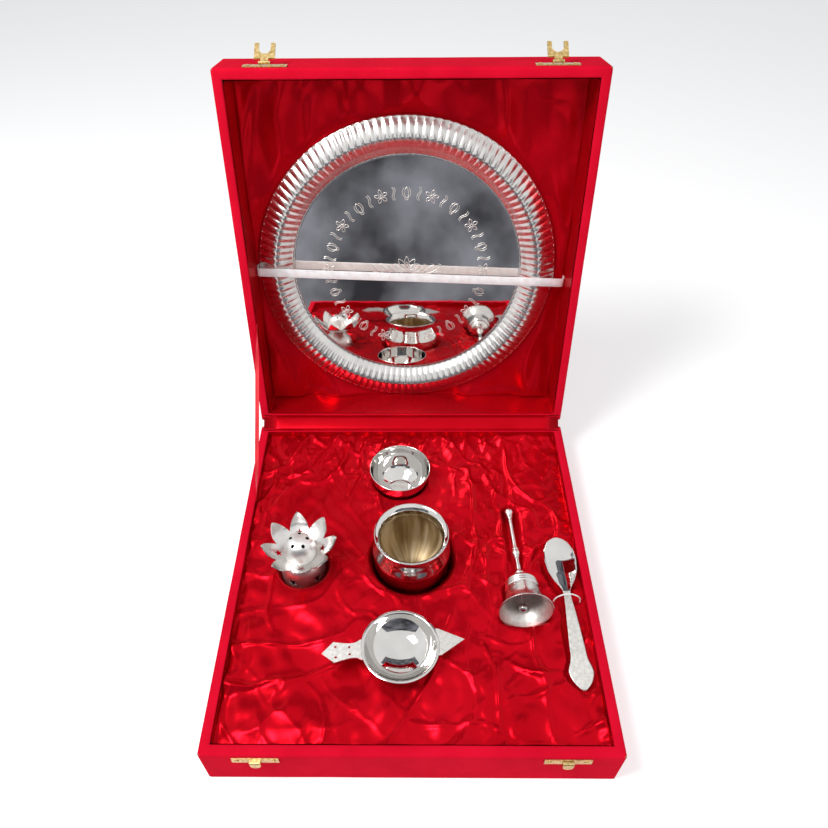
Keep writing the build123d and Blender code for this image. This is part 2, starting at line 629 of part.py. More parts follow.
bell += Pos(0, 0, BELL_LIP_R) * Torus(BELL_R - BELL_LIP_R / 2, BELL_LIP_R)
bell -= disc(STAPLE_R, 0, BELL_H + CUT)
pieces["bell_body"] = BELL_AT * bell

# Bell handle: collar, slim stem, bead, slim stem, knob
grip_l = GRIP_END - BELL_H
grip = disc(GRIP_COLLAR_R, 0, GRIP_R) + disc(GRIP_R, 0, grip_l - GRIP_KNOB_R)
grip += Pos(0, 0, GRIP_R) * Cone(GRIP_COLLAR_R, GRIP_R, 3 * GRIP_R, align=ON_FLOOR)
for height, radius in ((grip_l / 3, GRIP_BEAD_R), (grip_l - GRIP_KNOB_R, GRIP_KNOB_R)):
    grip += Pos(0, 0, height) * Sphere(radius)
    grip += disc(radius * STAR_DIP_SHARE + GRIP_R / 2, height - 2 * radius, height)
pieces["bell_handle"] = BELL_AT * Pos(0, 0, BELL_H) * grip

# Staple inside the crown and the clapper that swings on it
staple_top = BELL_H - BELL_T - TOUCH
staple_eye = staple_top - STAPLE_DROP
staple = disc(STAPLE_R, staple_top, BELL_H)
staple += block(4 * STAPLE_R, 2 * STAPLE_R, staple_top - STAPLE_R, staple_top)
staple += cross_rod(STAPLE_R, 4 * STAPLE_R, 0, 0, staple_eye)
for sign in SIDES.values():
    cheek_x = sign * 3 * STAPLE_R / 2
    staple += block(STAPLE_R, 2 * STAPLE_R, staple_eye - STAPLE_R, staple_top, cheek_x)
pieces["clapper_staple"] = BELL_AT * staple

eye_hole = STAPLE_R + PIN_PLAY
clapper = cross_rod(CLAPPER_EYE_R, 2 * STAPLE_R - 2 * KNUCKLE_PLAY, 0, 0, 0)
clapper += disc(CLAPPER_ROD_R - KNUCKLE_PLAY, -CLAPPER_L, -STAPLE_R)
clapper += Pos(0, 0, -CLAPPER_L) * Sphere(CLAPPER_R)
clapper -= cross_rod(eye_hole, CLAPPER_R, 0, 0, 0)
CLAPPER_AT = BELL_AT * Pos(0, 0, staple_eye) * Rot(CLAPPER_REST, 0, 0)
pieces["bell_clapper"] = CLAPPER_AT * clapper

# Spoon: egg-shaped bowl and a handle that widens to a pointed end, arched a little
SPOON_AT = Pos(SPOON_X, SPOON_Y, BED_TOP + FIT) * Rot(0, 0, SPOON_TURN)
unit_ball = Sphere(1)
bowl_size = (SPOON_BOWL_W / 2, SPOON_BOWL_L / 2, SPOON_BOWL_D)
hollow_size = tuple(size - SPOON_T for size in bowl_size)
spoon_bowl = scale(unit_ball, by=bowl_size) - scale(unit_ball, by=hollow_size)
spoon_bowl = Pos(0, 0, SPOON_BOWL_D) * spoon_bowl
spoon_bowl -= block(SPOON_BOWL_W + CUT, SPOON_BOWL_L + CUT, SPOON_BOWL_D, 2 * SPOON_BOWL_D + CUT)
neck_y = -SPOON_BOWL_L / 2 + SPOON_T + SPOON_HANDLE_T
handle_plan = Rot(0, 0, -90) * mirrored_plate(
    SPOON_HANDLE_SHARES, SPOON_HANDLE_L, SPOON_HANDLE_W, 2 * SPOON_BOWL_D
)
handle_high = SPOON_BOWL_D - SPOON_HANDLE_T
top_arc = ThreePointArc(
    (0, neck_y, SPOON_BOWL_D),
    (0, neck_y - SPOON_HANDLE_L / 2, SPOON_BOWL_D / 2 + SPOON_HANDLE_T / 2 + SPOON_ARCH),
    (0, neck_y - SPOON_HANDLE_L, SPOON_HANDLE_T),
)
low_arc = ThreePointArc(
    (0, neck_y, handle_high),
    (0, neck_y - SPOON_HANDLE_L / 2, handle_high / 2 + SPOON_ARCH),
    (0, neck_y - SPOON_HANDLE_L, 0),
)
side = make_face([top_arc, Line(top_arc @ 1, low_arc @ 1), low_arc, Line(low_arc @ 0, top_arc @ 0)])
handle_band = extrude(side, SPOON_HANDLE_W, both=True)
spoon = spoon_bowl + (handle_band & Pos(0, neck_y, 0) * handle_plan)
pieces["spoon"] = SPOON_AT * spoon

# White tie: a round cord arched over the spoon's handle, both ends on the satin
tie_x = SPOON_X + math.tan(math.radians(SPOON_TURN)) * (SPOON_Y - TIE_Y)
tie_path = ThreePointArc(
    (tie_x - TIE_SPAN / 2, TIE_Y, BED_TOP),
    (tie_x, TIE_Y, BED_TOP + TIE_RISE),
    (tie_x + TIE_SPAN / 2, TIE_Y, BED_TOP),
)
tie_section = Plane(tie_path @ 0, z_dir=tie_path % 0) * Circle(TIE_R)
tie = sweep(tie_section, path=tie_path)
pieces["spoon_tie"] = tie - block(INNER_W, INNER_D, 0, BED_TOP)

# Wells: each is a cavity and the same cavity grown by the satin that lines it
LOTA_WELL_R = LOTA_BODY_R + WELL_GAP
BOWL_WELL_R = BOWL_R * BOWL_CURVE_SHARES[1][0] + WELL_GAP
DIYA_WELL_R = DIYA_R * DIYA_CURVE_SHARES[0][0] + WELL_GAP
INCENSE_WELL_R = INCENSE_FOOT_R + INCENSE_WELL_GAP
BELL_WELL_L = BELL_H + BELL_R * math.sin(tilt) + 2 * WELL_GAP
BELL_WELL_W = 2 * (BELL_R + BELL_LIP_R + WELL_GAP)
HANDLE_FLOOR = BELL_Z - GRIP_END * math.sin(tilt) - GRIP_KNOB_R
handle_well_end = GRIP_END * math.cos(tilt) + WELL_GAP


def wells(grow):
    """All cavities of the bed, each grown sideways and downwards."""
    high = BED_TOP + CUT
    found = []
    for x, y, radius, floor in (
        (LOTA_X, LOTA_Y, LOTA_WELL_R, LOTA_FLOOR),
        (BOWL_X, BOWL_Y, BOWL_WELL_R, BOWL_FLOOR),
        (DIYA_X, DIYA_Y, DIYA_WELL_R, DIYA_FLOOR),
        (INCENSE_X, INCENSE_Y, INCENSE_WELL_R, INCENSE_FLOOR),
    ):
        found.append(disc(radius + grow, floor - FIT - grow, high, x, y))
    bell_low = BELL_FLOOR - FIT - grow
    mouth_y = -BELL_R * math.sin(tilt) - WELL_GAP
    bell_y = mouth_y + BELL_WELL_L / 2
    bell_box = block(BELL_WELL_W + 2 * grow, BELL_WELL_L + 2 * grow, bell_low, high, 0, bell_y)
    handle_l = handle_well_end - BELL_WELL_L / 2
    handle_y = handle_well_end - handle_l / 2
    handle_low = HANDLE_FLOOR - FIT - grow
    handle_box = block(HANDLE_WELL_W + 2 * grow, handle_l + 2 * grow, handle_low, high, 0, handle_y)
    found.append(Pos(BELL_X, BELL_Y, 0) * Rot(0, 0, BELL_TURN) * (bell_box + handle_box))
    return found


base_satin = block(INNER_W + 2 * LINING, INNER_D + 2 * LINING, BED_TOP - LINING, BED_TOP)
base_satin += side_lining(BED_TOP - LINING, BASE_H)
bed = block(INNER_W + 2 * LINING, INNER_D + 2 * LINING, PANEL, BED_TOP - LINING)
lining_top = block(CASE_W, CASE_D, BED_TOP, BASE_H)
for lined in wells(LINING):
    base_satin += lined - lining_top
    bed -= lined
for cavity in wells(0):
    base_satin -= cavity
pieces["base_satin_lining"] = base_satin
pieces["insert_bed"] = bed

# Ribbon stay: a flat strip from the lid's left wall to the base's left wall
ribbon_x = -INNER_W / 2 + TOUCH + RIBBON_T / 2
lid_end = (LID_AT * Pos(0, RIBBON_LID_U - CASE_D / 2, LID_H - RIBBON_TUCK)).position
base_end = Vector(0, RIBBON_BASE_Y, BASE_H - RIBBON_TUCK)
run = lid_end - base_end
ribbon_lean = math.degrees(math.atan2(run.Z, run.Y))
middle = (lid_end + base_end) / 2
RIBBON_AT = Pos(ribbon_x, middle.Y, middle.Z) * Rot(ribbon_lean, 0, 0)
pieces["ribbon_stay"] = RIBBON_AT * Box(RIBBON_T, run.length, RIBBON_W)

# Lining strip in the corner between the two rims: one leg on each and a slanted run over the knuckles
leg_middle = CASE_D / 2 - HINGE_STRIP_BACK - HINGE_STRIP_LEG / 2
strip_leg = (HINGE_STRIP_L, HINGE_STRIP_LEG, TOUCH, TOUCH + HINGE_STRIP_T)
strip_base = Pos(0, leg_middle, BASE_H) * block(*strip_leg)
strip_lid = LID_AT * Pos(0, -leg_middle, LID_H) * block(*strip_leg)
run_low = Vector(0, CASE_D / 2 - HINGE_STRIP_BACK, BASE_H + TOUCH + HINGE_STRIP_T / 2)
run_high = (LID_AT * Pos(0, HINGE_STRIP_BACK - CASE_D / 2, LID_H + TOUCH + HINGE_STRIP_T / 2)).position
strip_run = run_high - run_low
run_lean = math.degrees(math.atan2(strip_run.Z, strip_run.Y))
run_middle = (run_low + run_high) / 2
strip_slope = Pos(0, run_middle.Y, run_middle.Z) * Rot(run_lean, 0, 0)
strip = strip_base + strip_slope * Box(HINGE_STRIP_L, strip_run.length, HINGE_STRIP_T) + strip_lid
pieces["hinge_lining_strip"] = strip

for name, piece in pieces.items():
    export_step(piece, f"parts/{name}.step")
print(len(pieces), "nodes written")
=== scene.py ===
# %% [markdown]
# # A puja thali set in its velvet case
#
# A silver-plated thali stands in the lid of a red case, held by a white elastic band. The base holds a
# small bowl, a lota (water pot), a diya (oil lamp), an incense stand, a hand bell and a spoon, all sunk
# into crinkled satin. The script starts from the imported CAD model, which has the true sizes and the joints,
# and gives each piece the surface that a camera would see. Cloth is simulated, turned metal is spun from an
# outline, and ornament that repeats is set out with Geometry Nodes.

# %% Load the frame
import json
from math import atan2, cos, degrees, hypot, pi, radians, sin, sqrt, tau

import bpy
import numpy as np
from mathutils import Matrix, Vector, noise


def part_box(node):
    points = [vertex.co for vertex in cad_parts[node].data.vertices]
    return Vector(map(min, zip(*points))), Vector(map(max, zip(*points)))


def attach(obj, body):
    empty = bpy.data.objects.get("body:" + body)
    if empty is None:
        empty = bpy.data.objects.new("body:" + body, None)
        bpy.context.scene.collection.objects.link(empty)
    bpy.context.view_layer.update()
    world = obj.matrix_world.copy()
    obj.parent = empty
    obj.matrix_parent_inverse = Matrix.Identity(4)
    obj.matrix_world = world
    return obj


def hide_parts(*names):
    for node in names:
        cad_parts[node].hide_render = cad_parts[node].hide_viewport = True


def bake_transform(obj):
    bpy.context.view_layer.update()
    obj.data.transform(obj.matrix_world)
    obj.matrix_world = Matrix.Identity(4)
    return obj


MM = 0.001
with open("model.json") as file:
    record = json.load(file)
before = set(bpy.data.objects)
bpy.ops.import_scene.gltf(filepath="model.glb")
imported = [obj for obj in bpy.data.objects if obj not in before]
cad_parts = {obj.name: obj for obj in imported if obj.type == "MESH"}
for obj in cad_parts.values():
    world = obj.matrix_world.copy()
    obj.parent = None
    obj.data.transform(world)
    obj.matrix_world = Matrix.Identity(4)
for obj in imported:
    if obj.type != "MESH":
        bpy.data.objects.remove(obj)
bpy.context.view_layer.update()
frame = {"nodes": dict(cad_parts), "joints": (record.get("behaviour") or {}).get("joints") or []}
nodes = frame["nodes"]
joints = {joint["name"]: joint for joint in frame["joints"]}

# %% [markdown]
# ## Two frames of reference
#
# The base stands in the world as it is. The lid is easier to think about lying on its back: x to the right,
# y from the hinge to the front edge, z up from the outer panel to the rim. `LID` carries such a point to
# the open lid. It turns the shut lid about the hinge pin by the joint's own range, so the picture and the
# joint cannot disagree.

# %% The lid's own frame
hinge = joints["lid_hinge"]
pin = Vector(hinge["pos_m"])
AT_PIN = Matrix.Translation(pin)
SHUT = Matrix.Translation((0, 0, 2 * pin.z)) @ Matrix.Rotation(pi, 4, "X")
LID = AT_PIN @ Matrix.Rotation(radians(hinge["range_deg"][0]), 4, "X") @ AT_PIN.inverted() @ SHUT


def box_in(node_name, place):
    """Box of a CAD node in another frame, as two vectors in metres."""
    inward = place.inverted()
    found = np.array([inward @ v.co for v in nodes[node_name].data.vertices])
    return Vector(found.min(0)), Vector(found.max(0))


def middle_of(node_name):
    """Middle of a CAD node seen from above, and the height of its foot."""
    low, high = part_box(node_name)
    return Vector(((low.x + high.x) / 2, (low.y + high.y) / 2, low.z))


lid_low, lid_high = box_in("lid_velvet_cover", LID)
print("Lid lying on its back, mm:", [round(v / MM, 1) for v in (*lid_low, *lid_high)])

# %% [markdown]
# ## Camera
#
# The picture is taken from in front and above, looking down at about 46 degrees. A short lens at half a
# metre makes the near edge of the case wider than the far one. The numbers come from fitting the corners of
# the case.

# %% Camera
camera_data = bpy.data.cameras.new("camera")
camera = bpy.data.objects.new("camera", camera_data)
bpy.context.scene.collection.objects.link(camera)
bpy.context.scene.camera = camera
camera_data.lens = 31.263
camera_data.sensor_width = 36
camera_data.shift_x, camera_data.shift_y = 0.01509, 0.01971
CAMERA_DOWN, CAMERA_YAW, CAMERA_ROLL = radians(46.108), radians(-0.926), radians(0.684)
camera.matrix_world = (
    Matrix.Translation((-0.001168, -0.328914, 0.537140))
    @ Matrix.Rotation(-CAMERA_YAW, 4, "Z")
    @ Matrix.Rotation(pi / 2 - CAMERA_DOWN, 4, "X")
    @ Matrix.Rotation(-CAMERA_ROLL, 4, "Z")
)
print("Camera", round(degrees(CAMERA_DOWN), 1), "degrees down")

# %% [markdown]
# ## A helper for node trees
#
# Shaders and Geometry Nodes are both trees of nodes. `add` makes one node, sets its options, and fills each
# input with a value or, if it is given a socket, with a link.

# %% Node helper


def add(tree, kind, inputs=None, **options):
    """One new node in a tree; an input is a plain value or another node's socket."""
    made = tree.nodes.new(kind)
    for name, value in options.items():
        setattr(made, name, value)
    for name, value in (inputs or {}).items():
        if isinstance(value, bpy.types.NodeSocket):
            tree.links.new(value, made.inputs[name])
        else:
            made.inputs[name].default_value = value
    return made


def surface(name, **inputs):
    """New material with a principled shader; returns the material, its tree and the shader."""
    made = bpy.data.materials.new(name)
    made.use_nodes = True
    tree = made.node_tree
    tree.nodes.clear()
    shader = add(tree, "ShaderNodeBsdfPrincipled", {k.replace("_", " "): v for k, v in inputs.items()})
    add(tree, "ShaderNodeOutputMaterial", {"Surface": shader.outputs[0]})
    return made, tree, shader


def grain(tree, scale, detail=4.0, coordinates="Object", stretch=(1, 1, 1)):
    """Noise over the piece, as a socket from 0 to 1."""
    where = add(tree, "ShaderNodeTexCoord")
    mapped = add(tree, "ShaderNodeMapping", {"Vector": where.outputs[coordinates], "Scale": stretch})
    found = add(tree, "ShaderNodeTexNoise", {"Vector": mapped.outputs[0], "Scale": scale, "Detail": detail})
    return found.outputs[0]


def tones(tree, value, *stops):
    """Colours along a value: stops are pairs of position and linear colour."""
    ramp = add(tree, "ShaderNodeValToRGB", {"Fac": value})
    while len(ramp.color_ramp.elements) < len(stops):
        ramp.color_ramp.elements.new(0.5)
    for element, (position, colour) in zip(ramp.color_ramp.elements, stops):
        element.position = position
        element.color = (*colour, 1)
    return ramp.outputs[0]


def paint(tree, shader, value, *stops):
    """Base colour of a shader, mixed along a value."""
    tree.links.new(tones(tree, value, *stops), shader.inputs["Base Color"])


def spread(tree, value, low, high):
    """A 0 to 1 value moved to another range."""
    return add(tree, "ShaderNodeMapRange", {"Value": value, "To Min": low, "To Max": high}).outputs[0]


def roughen(tree, shader, height, strength, distance):
    """Bump from a height socket onto a shader."""
    bump = add(tree, "ShaderNodeBump", {"Height": height, "Strength": strength, "Distance": distance})
    tree.links.new(bump.outputs[0], shader.inputs["Normal"])


# %% [markdown]
# ## Cloth materials
#
# Velvet is a forest of upright threads. It scatters light at its edges (sheen) and has no gloss. Satin has
# long threads on one side only, so it shines along its folds in its own colour; some metallic share gives
# that coloured shine without a white glare. Both get soft uneven tones, because real cloth is never one
# flat red.

# %% Velvet, satin, ribbon and elastic
velvet, tree, shader = surface(
    "velvet", Roughness=0.95, Sheen_Weight=0.2, Sheen_Roughness=0.4, Specular_IOR_Level=0.04
)
shader.inputs["Sheen Tint"].default_value = (1.0, 0.02, 0.06, 1)
paint(tree, shader, grain(tree, 38, 6), (0.25, (0.54, 0.0030, 0.018)), (0.75, (0.68, 0.0048, 0.026)))
roughen(tree, shader, grain(tree, 2600, 2), 0.35, 0.0002)

satin, tree, shader = surface("satin", Metallic=0.55, Roughness=0.27, Specular_IOR_Level=0.2)
shader.inputs["Specular Tint"].default_value = (1.0, 0.12, 0.14, 1)
paint(tree, shader, grain(tree, 22, 5), (0.25, (0.42, 0.0012, 0.006)), (0.75, (0.56, 0.0030, 0.012)))
weave = grain(tree, 900, 3, "UV", (1, 6, 1))
roughen(tree, shader, weave, 0.10, 0.0002)

ribbon_red, tree, shader = surface("ribbon_red", Metallic=0.25, Roughness=0.42)
paint(tree, shader, grain(tree, 60, 3), (0.3, (0.50, 0.003, 0.010)), (0.7, (0.70, 0.006, 0.018)))
roughen(tree, shader, grain(tree, 1400, 2, "UV", (1, 12, 1)), 0.2, 0.0002)

elastic_white, tree, shader = surface(
    "elastic_white", Roughness=0.45, Subsurface_Weight=0.5, Subsurface_Scale=0.004
)
shader.inputs["Subsurface Radius"].default_value = (1.0, 0.7, 0.65)
paint(tree, shader, grain(tree, 140, 3), (0.3, (0.80, 0.74, 0.74)), (0.7, (0.94, 0.92, 0.92)))
ribs = add(tree, "ShaderNodeTexCoord").outputs["UV"]
ribs = add(tree, "ShaderNodeTexWave", {"Vector": ribs, "Scale": 300.0, "Distortion": 0.6}, bands_direction="Y")
roughen(tree, shader, ribs.outputs[0], 0.25, 0.0003)
print("Cloth materials: velvet, satin, ribbon_red, elastic_white")

# %% [markdown]
# ## Metal materials
#
# Silver plate is nearly a perfect mirror, so its look comes from what stands around it. Two small faults
# make it believable: polish that varies from place to place, and a hand-beaten waviness that bends the
# reflections a little. The diya's handle and the spoon's handle are stamped and look matte, almost white.

# %% Silver


def silver_plate(name, dark, light, smooth, worn, wave):
    """Silver plate between two greys and two roughnesses, with a slight waviness."""
    made, tree, shader = surface(name, Metallic=1.0)
    low, high = ((g, 0.978 * g, 0.95 * g) for g in (dark, light))
    paint(tree, shader, grain(tree, 45, 4), (0.3, low), (0.7, high))
    tree.links.new(spread(tree, grain(tree, 120, 5), smooth, worn), shader.inputs["Roughness"])
    roughen(tree, shader, grain(tree, 55, 2), wave, 0.002)
    return made


silver = silver_plate("silver_polished", 0.60, 0.73, 0.03, 0.09, 0.05)
silver_mirror = silver_plate("silver_mirror", 0.90, 0.97, 0.012, 0.035, 0.02)
silver_soft = silver_plate("silver_soft", 0.60, 0.76, 0.19, 0.30, 0.08)
silver_brushed = silver_plate("silver_brushed", 0.72, 0.88, 0.36, 0.48, 0.08)

silver_matte, tree, shader = surface("silver_stamped", Metallic=0.85)
paint(tree, shader, grain(tree, 400, 4), (0.3, (0.60, 0.585, 0.55)), (0.7, (0.80, 0.785, 0.75)))
tree.links.new(spread(tree, grain(tree, 300, 3), 0.32, 0.5), shader.inputs["Roughness"])
roughen(tree, shader, grain(tree, 1500, 3), 0.5, 0.0003)
print("Silver: polished, mirror, soft, brushed and stamped")

# %% [markdown]
# Brass fittings are only brushed, so their colour wanders between a dark and a pale yellow. The lota's
# inside was never polished and has long golden streaks. Board and foam are hidden under the cloth and get a
# plain finish.

# %% The lota's inside, holes, brass, board and foam
lota_inside, tree, shader = surface("lota_inside", Metallic=0.6)
streaks = grain(tree, 9, 4, "UV", (2.6, 1.5, 1))
paint(
    tree, shader, streaks,
    (0.36, (0.30, 0.20, 0.095)), (0.5, (0.50, 0.37, 0.20)), (0.64, (0.80, 0.68, 0.48)),
)
tree.links.new(spread(tree, streaks, 0.42, 0.6), shader.inputs["Roughness"])

# Painted shade: the cut walls of the stick holes are painted near-black instead of bare silver
hole_painted_shade, tree, shader = surface("hole_painted_shade", Roughness=0.9)
paint(tree, shader, grain(tree, 300, 3), (0.3, (0.006, 0.005, 0.005)), (0.7, (0.016, 0.013, 0.012)))

brass, tree, shader = surface("brass", Metallic=1.0)
paint(
    tree, shader, grain(tree, 500, 5),
    (0.3, (0.42, 0.27, 0.09)), (0.6, (0.78, 0.57, 0.25)), (0.8, (0.88, 0.70, 0.38)),
)
tree.links.new(spread(tree, grain(tree, 700, 3), 0.18, 0.42), shader.inputs["Roughness"])

board, tree, shader = surface("fibreboard", Roughness=0.85)
paint(tree, shader, grain(tree, 350, 8), (0.3, (0.19, 0.125, 0.07)), (0.7, (0.36, 0.26, 0.16)))
roughen(tree, shader, grain(tree, 1200, 3), 0.4, 0.0002)

foam, tree, shader = surface("foam", Roughness=0.95)
paint(tree, shader, grain(tree, 260, 6), (0.3, (0.62, 0.56, 0.34)), (0.7, (0.80, 0.75, 0.52)))
roughen(tree, shader, grain(tree, 1600, 3), 0.6, 0.0004)
print("Materials: lota_inside, hole_painted_shade, brass, fibreboard, foam")

# %% [markdown]
# ## Plain studio
#
# A pale floor carries the case's shadow. The world lights softly, but camera, glossy and transmission rays
# that reach it see plain white. Four dark cards outside the picture are what polished silver shows as its
# dark parts: without something dark to mirror, silver looks like white plastic.

# %% World
scene = bpy.context.scene
scene.view_settings.view_transform = "Standard"
world = bpy.data.worlds.new("studio")
scene.world = world
world.use_nodes = True
tree = world.node_tree
tree.nodes.clear()
ray = add(tree, "ShaderNodeLightPath")
seen = ray.outputs["Is Camera Ray"]
for kind in ("Glossy", "Transmission"):
    either = {0: seen, 1: ray.outputs[f"Is {kind} Ray"]}
    seen = add(tree, "ShaderNodeMath", either, operation="MAXIMUM").outputs[0]
ambient = add(tree, "ShaderNodeBackground", {"Color": (0.95, 0.97, 1.0, 1), "Strength": 0.36})
white = add(tree, "ShaderNodeBackground", {"Color": (1, 1, 1, 1), "Strength": 1.0})
mixed = add(tree, "ShaderNodeMixShader", {0: seen, 1: ambient.outputs[0], 2: white.outputs[0]})
add(tree, "ShaderNodeOutputWorld", {"Surface": mixed.outputs[0]})
print("World: soft light, plain white to look at")

# %% Floor


def studio_card(name, corners, material, **visible):
    """Flat four-cornered card of the studio, not part of the set."""
    mesh = bpy.data.meshes.new(name)
    mesh.from_pydata(corners, [], [(0, 1, 2, 3)])
    mesh.materials.append(material)
    card = bpy.data.objects.new(name, mesh)
    scene.collection.objects.link(card)
    for kind, shown in visible.items():
        setattr(card, f"visible_{kind}", shown)
    return card


floor_white = bpy.data.materials.new("floor_white")
floor_white.use_nodes = True
tree = floor_white.node_tree
tree.nodes.clear()
matte = add(tree, "ShaderNodeBsdfDiffuse", {"Color": (0.86, 0.86, 0.86, 1)})
lift = add(tree, "ShaderNodeEmission", {"Color": (1, 1, 1, 1), "Strength": 0.40})
both = add(tree, "ShaderNodeAddShader", {0: matte.outputs[0], 1: lift.outputs[0]})
ray = add(tree, "ShaderNodeLightPath")
by_ray = add(
    tree, "ShaderNodeMixShader", {0: ray.outputs["Is Camera Ray"], 1: matte.outputs[0], 2: both.outputs[0]}
)
add(tree, "ShaderNodeOutputMaterial", {"Surface": by_ray.outputs[0]})
FLOOR = 8.0
studio_card(
    "floor", [(-FLOOR, -FLOOR, 0), (FLOOR, -FLOOR, 0), (FLOOR, FLOOR, 0), (-FLOOR, FLOOR, 0)], floor_white
)
print("Floor", 2 * FLOOR, "m wide")

# %% Dark cards
card_dark, tree, shader = surface("card_dark", Roughness=1.0)
tree.links.new(
    tones(tree, grain(tree, 9, 3), (0.35, (0.020, 0.022, 0.028)), (0.65, (0.24, 0.25, 0.29))),
    shader.inputs["Emission Color"],
)
shader.inputs["Emission Strength"].default_value = 1.0
shader.inputs["Base Color"].default_value = (0, 0, 0, 1)
only_mirrored = {"camera": False, "diffuse": False, "shadow": False, "transmission": False}
CARDS = {
    "card_front": [(-0.19, -0.19, 0.0), (0.19, -0.19, 0.0), (0.20, -0.26, 0.30), (-0.20, -0.26, 0.30)],
    "card_left": [(-1.05, -0.85, 0.0), (-0.50, -0.85, 0.0), (-0.50, -0.85, 1.0), (-1.05, -0.85, 1.0)],
    "card_right": [(0.42, -0.85, 0.0), (0.95, -0.85, 0.0), (0.95, -0.85, 1.0), (0.42, -0.85, 1.0)],
    "card_back": [(-0.6, 0.75, 0.5), (0.6, 0.75, 0.5), (0.6, 0.75, 1.3), (-0.6, 0.75, 1.3)],
}
for name, corners in CARDS.items():
    studio_card(name, corners, card_dark, **only_mirrored)
print(len(CARDS), "dark cards")

# %% Lights


def soft_light(name, at, towards, size, power):
    """Square area light that looks at a point."""
    data = bpy.data.lights.new(name, "AREA")
    data.size, data.energy = size, power
    lamp = bpy.data.objects.new(name, data)
    scene.collection.objects.link(lamp)
    aim = (Vector(towards) - Vector(at)).to_track_quat("-Z", "Y")
    lamp.matrix_world = Matrix.Translation(at) @ aim.to_matrix().to_4x4()
    return lamp


soft_light("key", (-0.62, -0.22, 1.2), (0, 0.05, 0.08), 0.45, 14)
fill = soft_light("fill", (0.75, -0.95, 0.95), (0, 0.1, 0.1), 0.9, 8)
fill.visible_glossy = False
print("Lights: key and fill")

# %% [markdown]
# ## Making a mesh
#
# Every visible piece is a mesh whose points are already in place, on an object at the origin. `make_piece`
# takes points in millimetres in the piece's own frame, carries them to the world with `place`, and gives
# the UV map in metres, so that a weave has the same size on every cloth.

# %% Mesh helper


def make_piece(name, points, faces, materials, place=Matrix(), uv=None, by_face=None, smooth=True):
    """Mesh object from points in mm; uv holds one pair per face corner, by_face one material index per face."""
    mesh = bpy.data.meshes.new(name)
    mesh.from_pydata([place @ Vector(p) for p in np.asarray(points, float) * MM], [], [list(f) for f in faces])
    for material in materials:
        mesh.materials.append(material)
    if by_face is not None:
        mesh.polygons.foreach_set("material_index", by_face)
    if uv is not None:
        layer = mesh.uv_layers.new(name="flat")
        layer.data.foreach_set("uv", np.asarray(uv, np.float32).ravel())
    mesh.polygons.foreach_set("use_smooth", [smooth] * len(mesh.polygons))
    mesh.validate()
    made = bpy.data.objects.new(name, mesh)
    scene.collection.objects.link(made)
    return made


def ring_faces(rings, count, first=0, flip=False):
    """Quads between closed rings that follow one another, each with the same count of points."""
    found = []
    for i in range(rings - 1):
        for j in range(count):
            a, b = first + i * count + j, first + i * count + (j + 1) % count
            found.append((a, a + count, b + count, b) if flip else (a, b, b + count, a + count))
    return found


def settle(piece, body, slot, *stands_for):
    """Attaches a finished piece to its body and hides the CAD nodes that it stands for; slot is not used."""
    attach(piece, body)
    if stands_for:
        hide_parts(*stands_for)
    print(f"{piece.name}: {len(piece.data.polygons)} faces on {body}")
    return piece


# %% [markdown]
# ## Smooth lines and spun metal
#
# Bowls, pots and bells are spun on a lathe, so they are an outline turned about an axis. `smooth_line` runs
# a Catmull-Rom curve through a few points. `walled` gives that line the thickness of sheet metal and rounds
# the rim, and `spin` turns the closed outline. Points on the axis become a single vertex, so the pole is
# closed.

# %% Lathe helpers


def smooth_line(points, steps=10):
    """Catmull-Rom curve through the points, ends included."""
    p = np.array(points, float)
    p = np.vstack([2 * p[0] - p[1], p, 2 * p[-1] - p[-2]])
    t = np.linspace(0, 1, steps, endpoint=False)[:, None]
    found = []
    for a, b, c, d in zip(p, p[1:], p[2:], p[3:]):
        square, cube = 2 * a - 5 * b + 4 * c - d, 3 * b - a - 3 * c + d
        found.append(0.5 * (2 * b + (c - a) * t + square * t**2 + cube * t**3))
    return np.vstack([*found, p[-2]])


def walled(outside, wall):
    """Closed outline of spun sheet: outside from the axis to the rim, round rim, and back along the inside."""
    outside = np.array(outside, float)
    along = np.gradient(outside, axis=0)
    along /= np.linalg.norm(along, axis=1)[:, None]
    inside = outside + np.stack([-along[:, 1], along[:, 0]], 1) * wall
    inside[:, 0] = np.maximum(inside[:, 0], 0)
    inside[0, 0] = 0
    mid, reach = (outside[-1] + inside[-1]) / 2, (outside[-1] - inside[-1]) / 2
    turn = np.linspace(0, pi, 9)[1:-1, None]
    edge = mid + reach * np.cos(turn) + along[-1] * np.sin(turn) * abs(wall) / 2
    return np.vstack([outside, edge, inside[::-1]])


def spin(outline, steps=160):
    """Points, faces and UV corners of an outline turned about Z."""
    points, rings = [], []
    for r, z in outline:
        if r < 1e-6:
            rings.append([len(points)] * (steps + 1))
            points.append((0, 0, z))
        else:
            start = len(points)
            points += [(r * cos(tau * j / steps), r * sin(tau * j / steps), z) for j in range(steps)]
            rings.append([start + j % steps for j in range(steps + 1)])
    run = np.concatenate([[0], np.cumsum(np.linalg.norm(np.diff(outline, axis=0), axis=1))]) * MM
    faces, uv, rows = [], [], []
    for i in range(len(rings) - 1):
        for j in range(steps):
            corners = [(i, j), (i, j + 1), (i + 1, j + 1), (i + 1, j)]
            kept = []
            for a, b in corners:
                if not any(rings[a][b] == rings[c][d] for c, d in kept):
                    kept.append((a, b))
            if len(kept) > 2:
                faces.append([rings[a][b] for a, b in kept])
                uv += [(b / steps, run[a]) for a, b in kept]
                rows.append(i)
    return points, faces, uv, rows


def spun_piece(name, outline, materials, place, steps=160, inside_from=None):
    """Piece turned from a closed outline; rows from inside_from on take the second material."""
    points, faces, uv, rows = spin(outline, steps)
    second = [int(inside_from is not None and row >= inside_from) for row in rows]
    return make_piece(name, points, faces, materials, place, uv, second)


